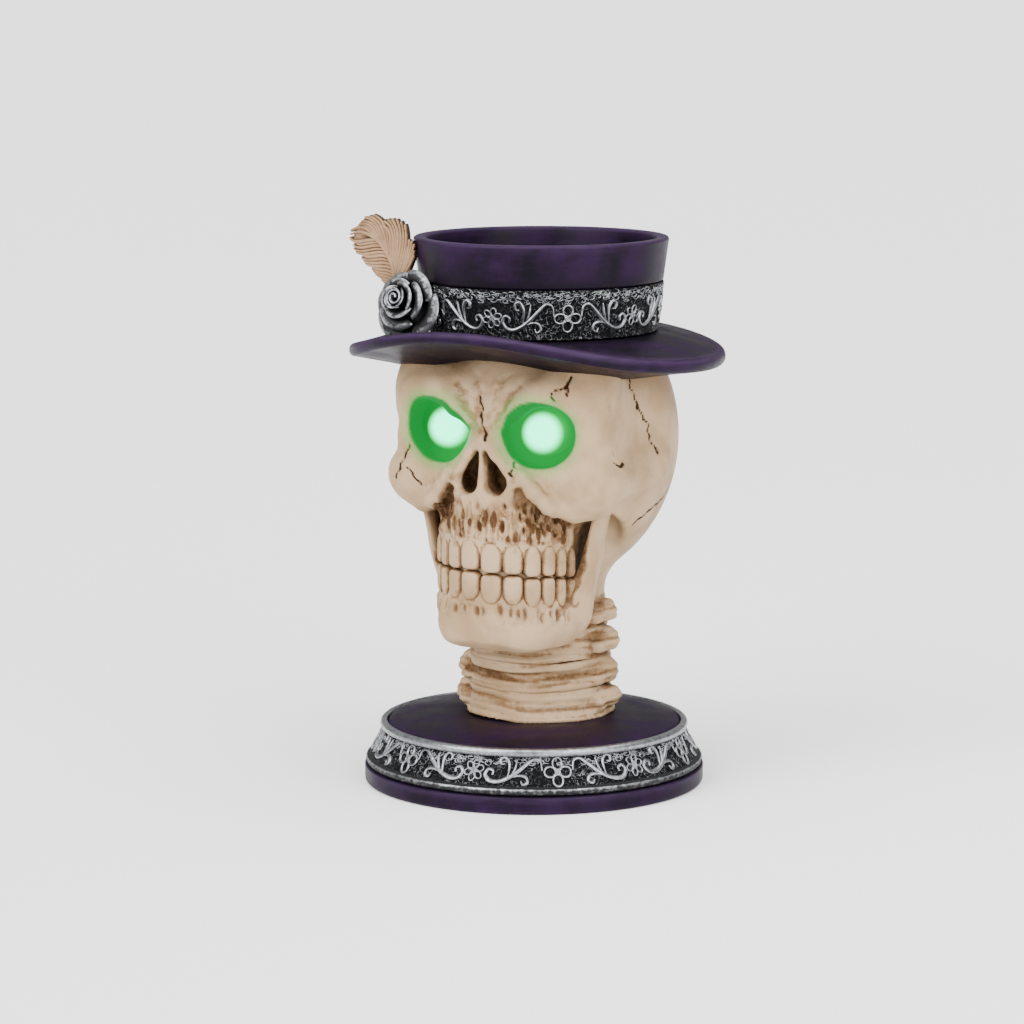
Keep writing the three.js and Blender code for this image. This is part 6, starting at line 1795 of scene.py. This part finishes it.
# The photo's camera: its way off the axis and up, and the point aimed at, up the axis and off to the left
PHOTO_AWAY = 1.1006
PHOTO_HEIGHT = 0.2499
PHOTO_AIM_Z = 0.0792
PHOTO_AIM_SIDE = 0.0065
PHOTO_LENS = 133.7
PHOTO_SENSOR = 36


def aimed(name, data, where, target):
    """A lamp or camera in the scene, turned to a target."""
    thing = in_scene(name, data)
    thing.location = where
    thing.rotation_euler = (Vector(target) - thing.location).to_track_quat("-Z", "Y").to_euler()
    return thing


# Operators


class SKULL_OT_skull(bpy.types.Operator):
    """Skin the skull and the lower jaw, with their teeth, cracks, painter's wash with painted shade, and the
    eyes' painted green light
    """

    bl_idname = "skull.skull"
    bl_label = "Skull and Jaw"

    def execute(self, context):
        cell = sizes().bone_cell / MM
        paint = shared(aged_bone)
        half, front, back, foot, top = CRANIUM_REACH
        lines = even_lines(half, cell), grid_lines(front, back, cell, 1.5 * cell), grid_lines(foot, top, cell)
        mesh = bone_mesh("cranium_bone", cranium_field, lines, GUM_UPPER_Z, MOUTH_Z + BITE_GAP, 7)
        place(weld(mesh), paint, "cranium")
        half, front, back, foot, top = JAW_REACH
        lines = even_lines(half, cell), grid_lines(front, back, cell), grid_lines(foot, top, cell)
        mesh = bone_mesh("mandible_bone", mandible_field, lines, GUM_LOWER_Z, MOUTH_Z - BITE_GAP, 11)
        place(weld(mesh), paint, "mandible")
        return {"FINISHED"}


class SKULL_OT_neck(bpy.types.Operator):
    """Skin the stack of neck bones"""

    bl_idname = "skull.neck"
    bl_label = "Neck Bones"

    def execute(self, context):
        paint = shared(aged_bone)
        for number in range(4):
            place(weld(neck_bone(number)), paint, f"vertebra_{number + 1}")
        return {"FINISHED"}


class SKULL_OT_hat(bpy.types.Operator):
    """Shape the brim and the open crown of the hat"""

    bl_idname = "skull.hat"
    bl_label = "Hat"

    def execute(self, context):
        paint = shared(satin_purple)
        place(hat_brim(), paint, "hat_brim")
        place(hat_crown(), paint, "hat_crown")
        return {"FINISHED"}


class SKULL_OT_base(bpy.types.Operator):
    """Turn the foot plate, the frieze ring and the deck"""

    bl_idname = "skull.base"
    bl_label = "Base"

    def execute(self, context):
        paint = shared(satin_purple)
        place(plinth_shell(), paint, "plinth")
        place(frieze_shell(), None, "frieze_ring")
        place(deck_shell(), paint, "deck")
        return {"FINISHED"}


class SKULL_OT_relief(bpy.types.Operator):
    """Wrap the scroll relief round the base and the hat"""

    bl_idname = "skull.relief"
    bl_label = "Scroll Relief"

    def execute(self, context):
        foot, top = FRIEZE_FOOT_Z + BEAD, FRIEZE_TOP_Z - BEAD
        slope = (FRIEZE_TOP_RADIUS - FRIEZE_FOOT_RADIUS) / (top - foot)
        radius = (FRIEZE_TOP_RADIUS + FRIEZE_FOOT_RADIUS) / 2
        relief_round("frieze_relief", sizes().frieze_repeats, radius, slope, (foot + top) / 2,
                     PHOTO_TURN + 8.4, 0.0, lift=1.0, lace_count=100, lace_span=(1.8, 4.0), seed=3)
        place(hat_band(), shared(dabbed_black), "hat_band")
        slope = (BAND_RADIUS_TOP - BAND_RADIUS_FOOT) / (BAND_TOP_Z - BAND_FOOT_Z)
        radius = BAND_RADIUS_FOOT - 0.5 + slope * BAND_RELIEF_RISE
        relief_round("band_relief", sizes().band_repeats, radius, slope, BAND_FOOT_Z + BAND_RELIEF_RISE,
                     PHOTO_TURN + 12.4, HAT_Y, lift=1.22, lace_count=120, lace_span=(4.4, 7.2), seed=4)
        return {"FINISHED"}


class SKULL_OT_trimmings(bpy.types.Operator):
    """Set the rose and the plume on the hat"""

    bl_idname = "skull.trimmings"
    bl_label = "Rose and Plume"

    def execute(self, context):
        place(rose_shell(), shared(rubbed_silver), "rose")
        place(plume_shell(), shared(carved_tan), "feather")
        return {"FINISHED"}


class SKULL_OT_eyes(bpy.types.Operator):
    """Light the domes in the sockets"""

    bl_idname = "skull.eyes"
    bl_label = "Eyes"

    def execute(self, context):
        paint = shared(lit_dome)
        for name, side in (("left", 1), ("right", -1)):
            place(lens_shell(side, f"lens_shell_{name}"), paint, f"eye_lens_{name}")
        return {"FINISHED"}


class SKULL_OT_electrics(bpy.types.Operator):
    """Finish the frame's own lights, leads, cells, switch and battery door"""

    bl_idname = "skull.electrics"
    bl_label = "Electrics"

    def execute(self, context):
        for finish_name, (*finish, nodes) in INNER_FINISHES.items():
            material = plain_finish(finish_name, *finish)
            for node in nodes:
                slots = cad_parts[node].data.materials
                slots.clear()
                slots.append(material)
        return {"FINISHED"}


class SKULL_OT_stage(bpy.types.Operator):
    """Set the floor, the soft studio lights and the camera"""

    bl_idname = "skull.stage"
    bl_label = "Stage"

    def execute(self, context):
        ends = (-FLOOR_REACH, FLOOR_REACH)
        corners = [(x, y, FLOOR_Z) for y in ends for x in ends]
        floor = make_mesh("studio_floor", corners, [(0, 1, 3, 2)])
        paint, tree, shader = new_paint("floor_paint", 0.5)
        dress(tree, shader, Base_Color=FLOOR_TINT, Roughness=0.8)
        floor.materials.append(paint)
        piece = in_scene("studio_floor", floor)
        world = bpy.data.worlds.new("studio_air")
        context.scene.world = world
        world.use_nodes = True
        air = world.node_tree
        dress(air, air.nodes["Background"], Color=(1.0, 1.0, 1.0), Strength=AIR_STRENGTH)
        for name, kind, where, breadth, power in LIGHTS:
            light = bpy.data.lights.new(name, kind)
            light.energy = power
            if kind == "SUN":
                light.angle = breadth
            else:
                light.size = breadth
            aimed(name, light, where, LIGHT_TARGET)
        turn = math.radians(PHOTO_TURN)
        data = bpy.data.cameras.new("photo_view")
        data.sensor_width = PHOTO_SENSOR
        data.lens = PHOTO_LENS
        where = (math.sin(turn) * PHOTO_AWAY, -math.cos(turn) * PHOTO_AWAY, PHOTO_HEIGHT)
        target = Vector((0, 0, PHOTO_AIM_Z)) - PHOTO_AIM_SIDE * Vector((math.cos(turn), math.sin(turn), 0))
        context.scene.camera = aimed("photo_view", data, where, target)
        return {"FINISHED"}


class SKULL_PT_panel(bpy.types.Panel):
    """Sizes, paints and builders of the skull figure"""

    bl_idname = "SKULL_PT_panel"
    bl_label = "Skull Figure"
    bl_space_type = "VIEW_3D"
    bl_region_type = "UI"
    bl_category = "Skull Figure"

    def draw(self, context):
        for group in (sizes(), colours()):
            for key in group.bl_rna.properties.keys():
                if key not in ("rna_type", "name"):
                    self.layout.prop(group, key)
        for builder in BUILDERS:
            self.layout.operator(builder.bl_idname)


BUILDERS = (
    SKULL_OT_skull, SKULL_OT_neck, SKULL_OT_hat, SKULL_OT_base, SKULL_OT_relief, SKULL_OT_trimmings,
    SKULL_OT_eyes, SKULL_OT_electrics, SKULL_OT_stage,
)
CLASSES = (FigureSizes, FigureColours, *BUILDERS, SKULL_PT_panel)


def register():
    for entry in CLASSES:
        bpy.utils.register_class(entry)
    bpy.types.Scene.skull_sizes = bpy.props.PointerProperty(type=FigureSizes)
    bpy.types.Scene.skull_colours = bpy.props.PointerProperty(type=FigureColours)


def unregister():
    del bpy.types.Scene.skull_colours
    del bpy.types.Scene.skull_sizes
    for entry in reversed(CLASSES):
        bpy.utils.unregister_class(entry)


def main():
    register()
    bpy.ops.skull.skull()
    bpy.ops.skull.neck()
    bpy.ops.skull.hat()
    bpy.ops.skull.base()
    bpy.ops.skull.relief()
    bpy.ops.skull.trimmings()
    bpy.ops.skull.eyes()
    bpy.ops.skull.electrics()
    bpy.ops.skull.stage()


if __name__ == "__main__":
    main()
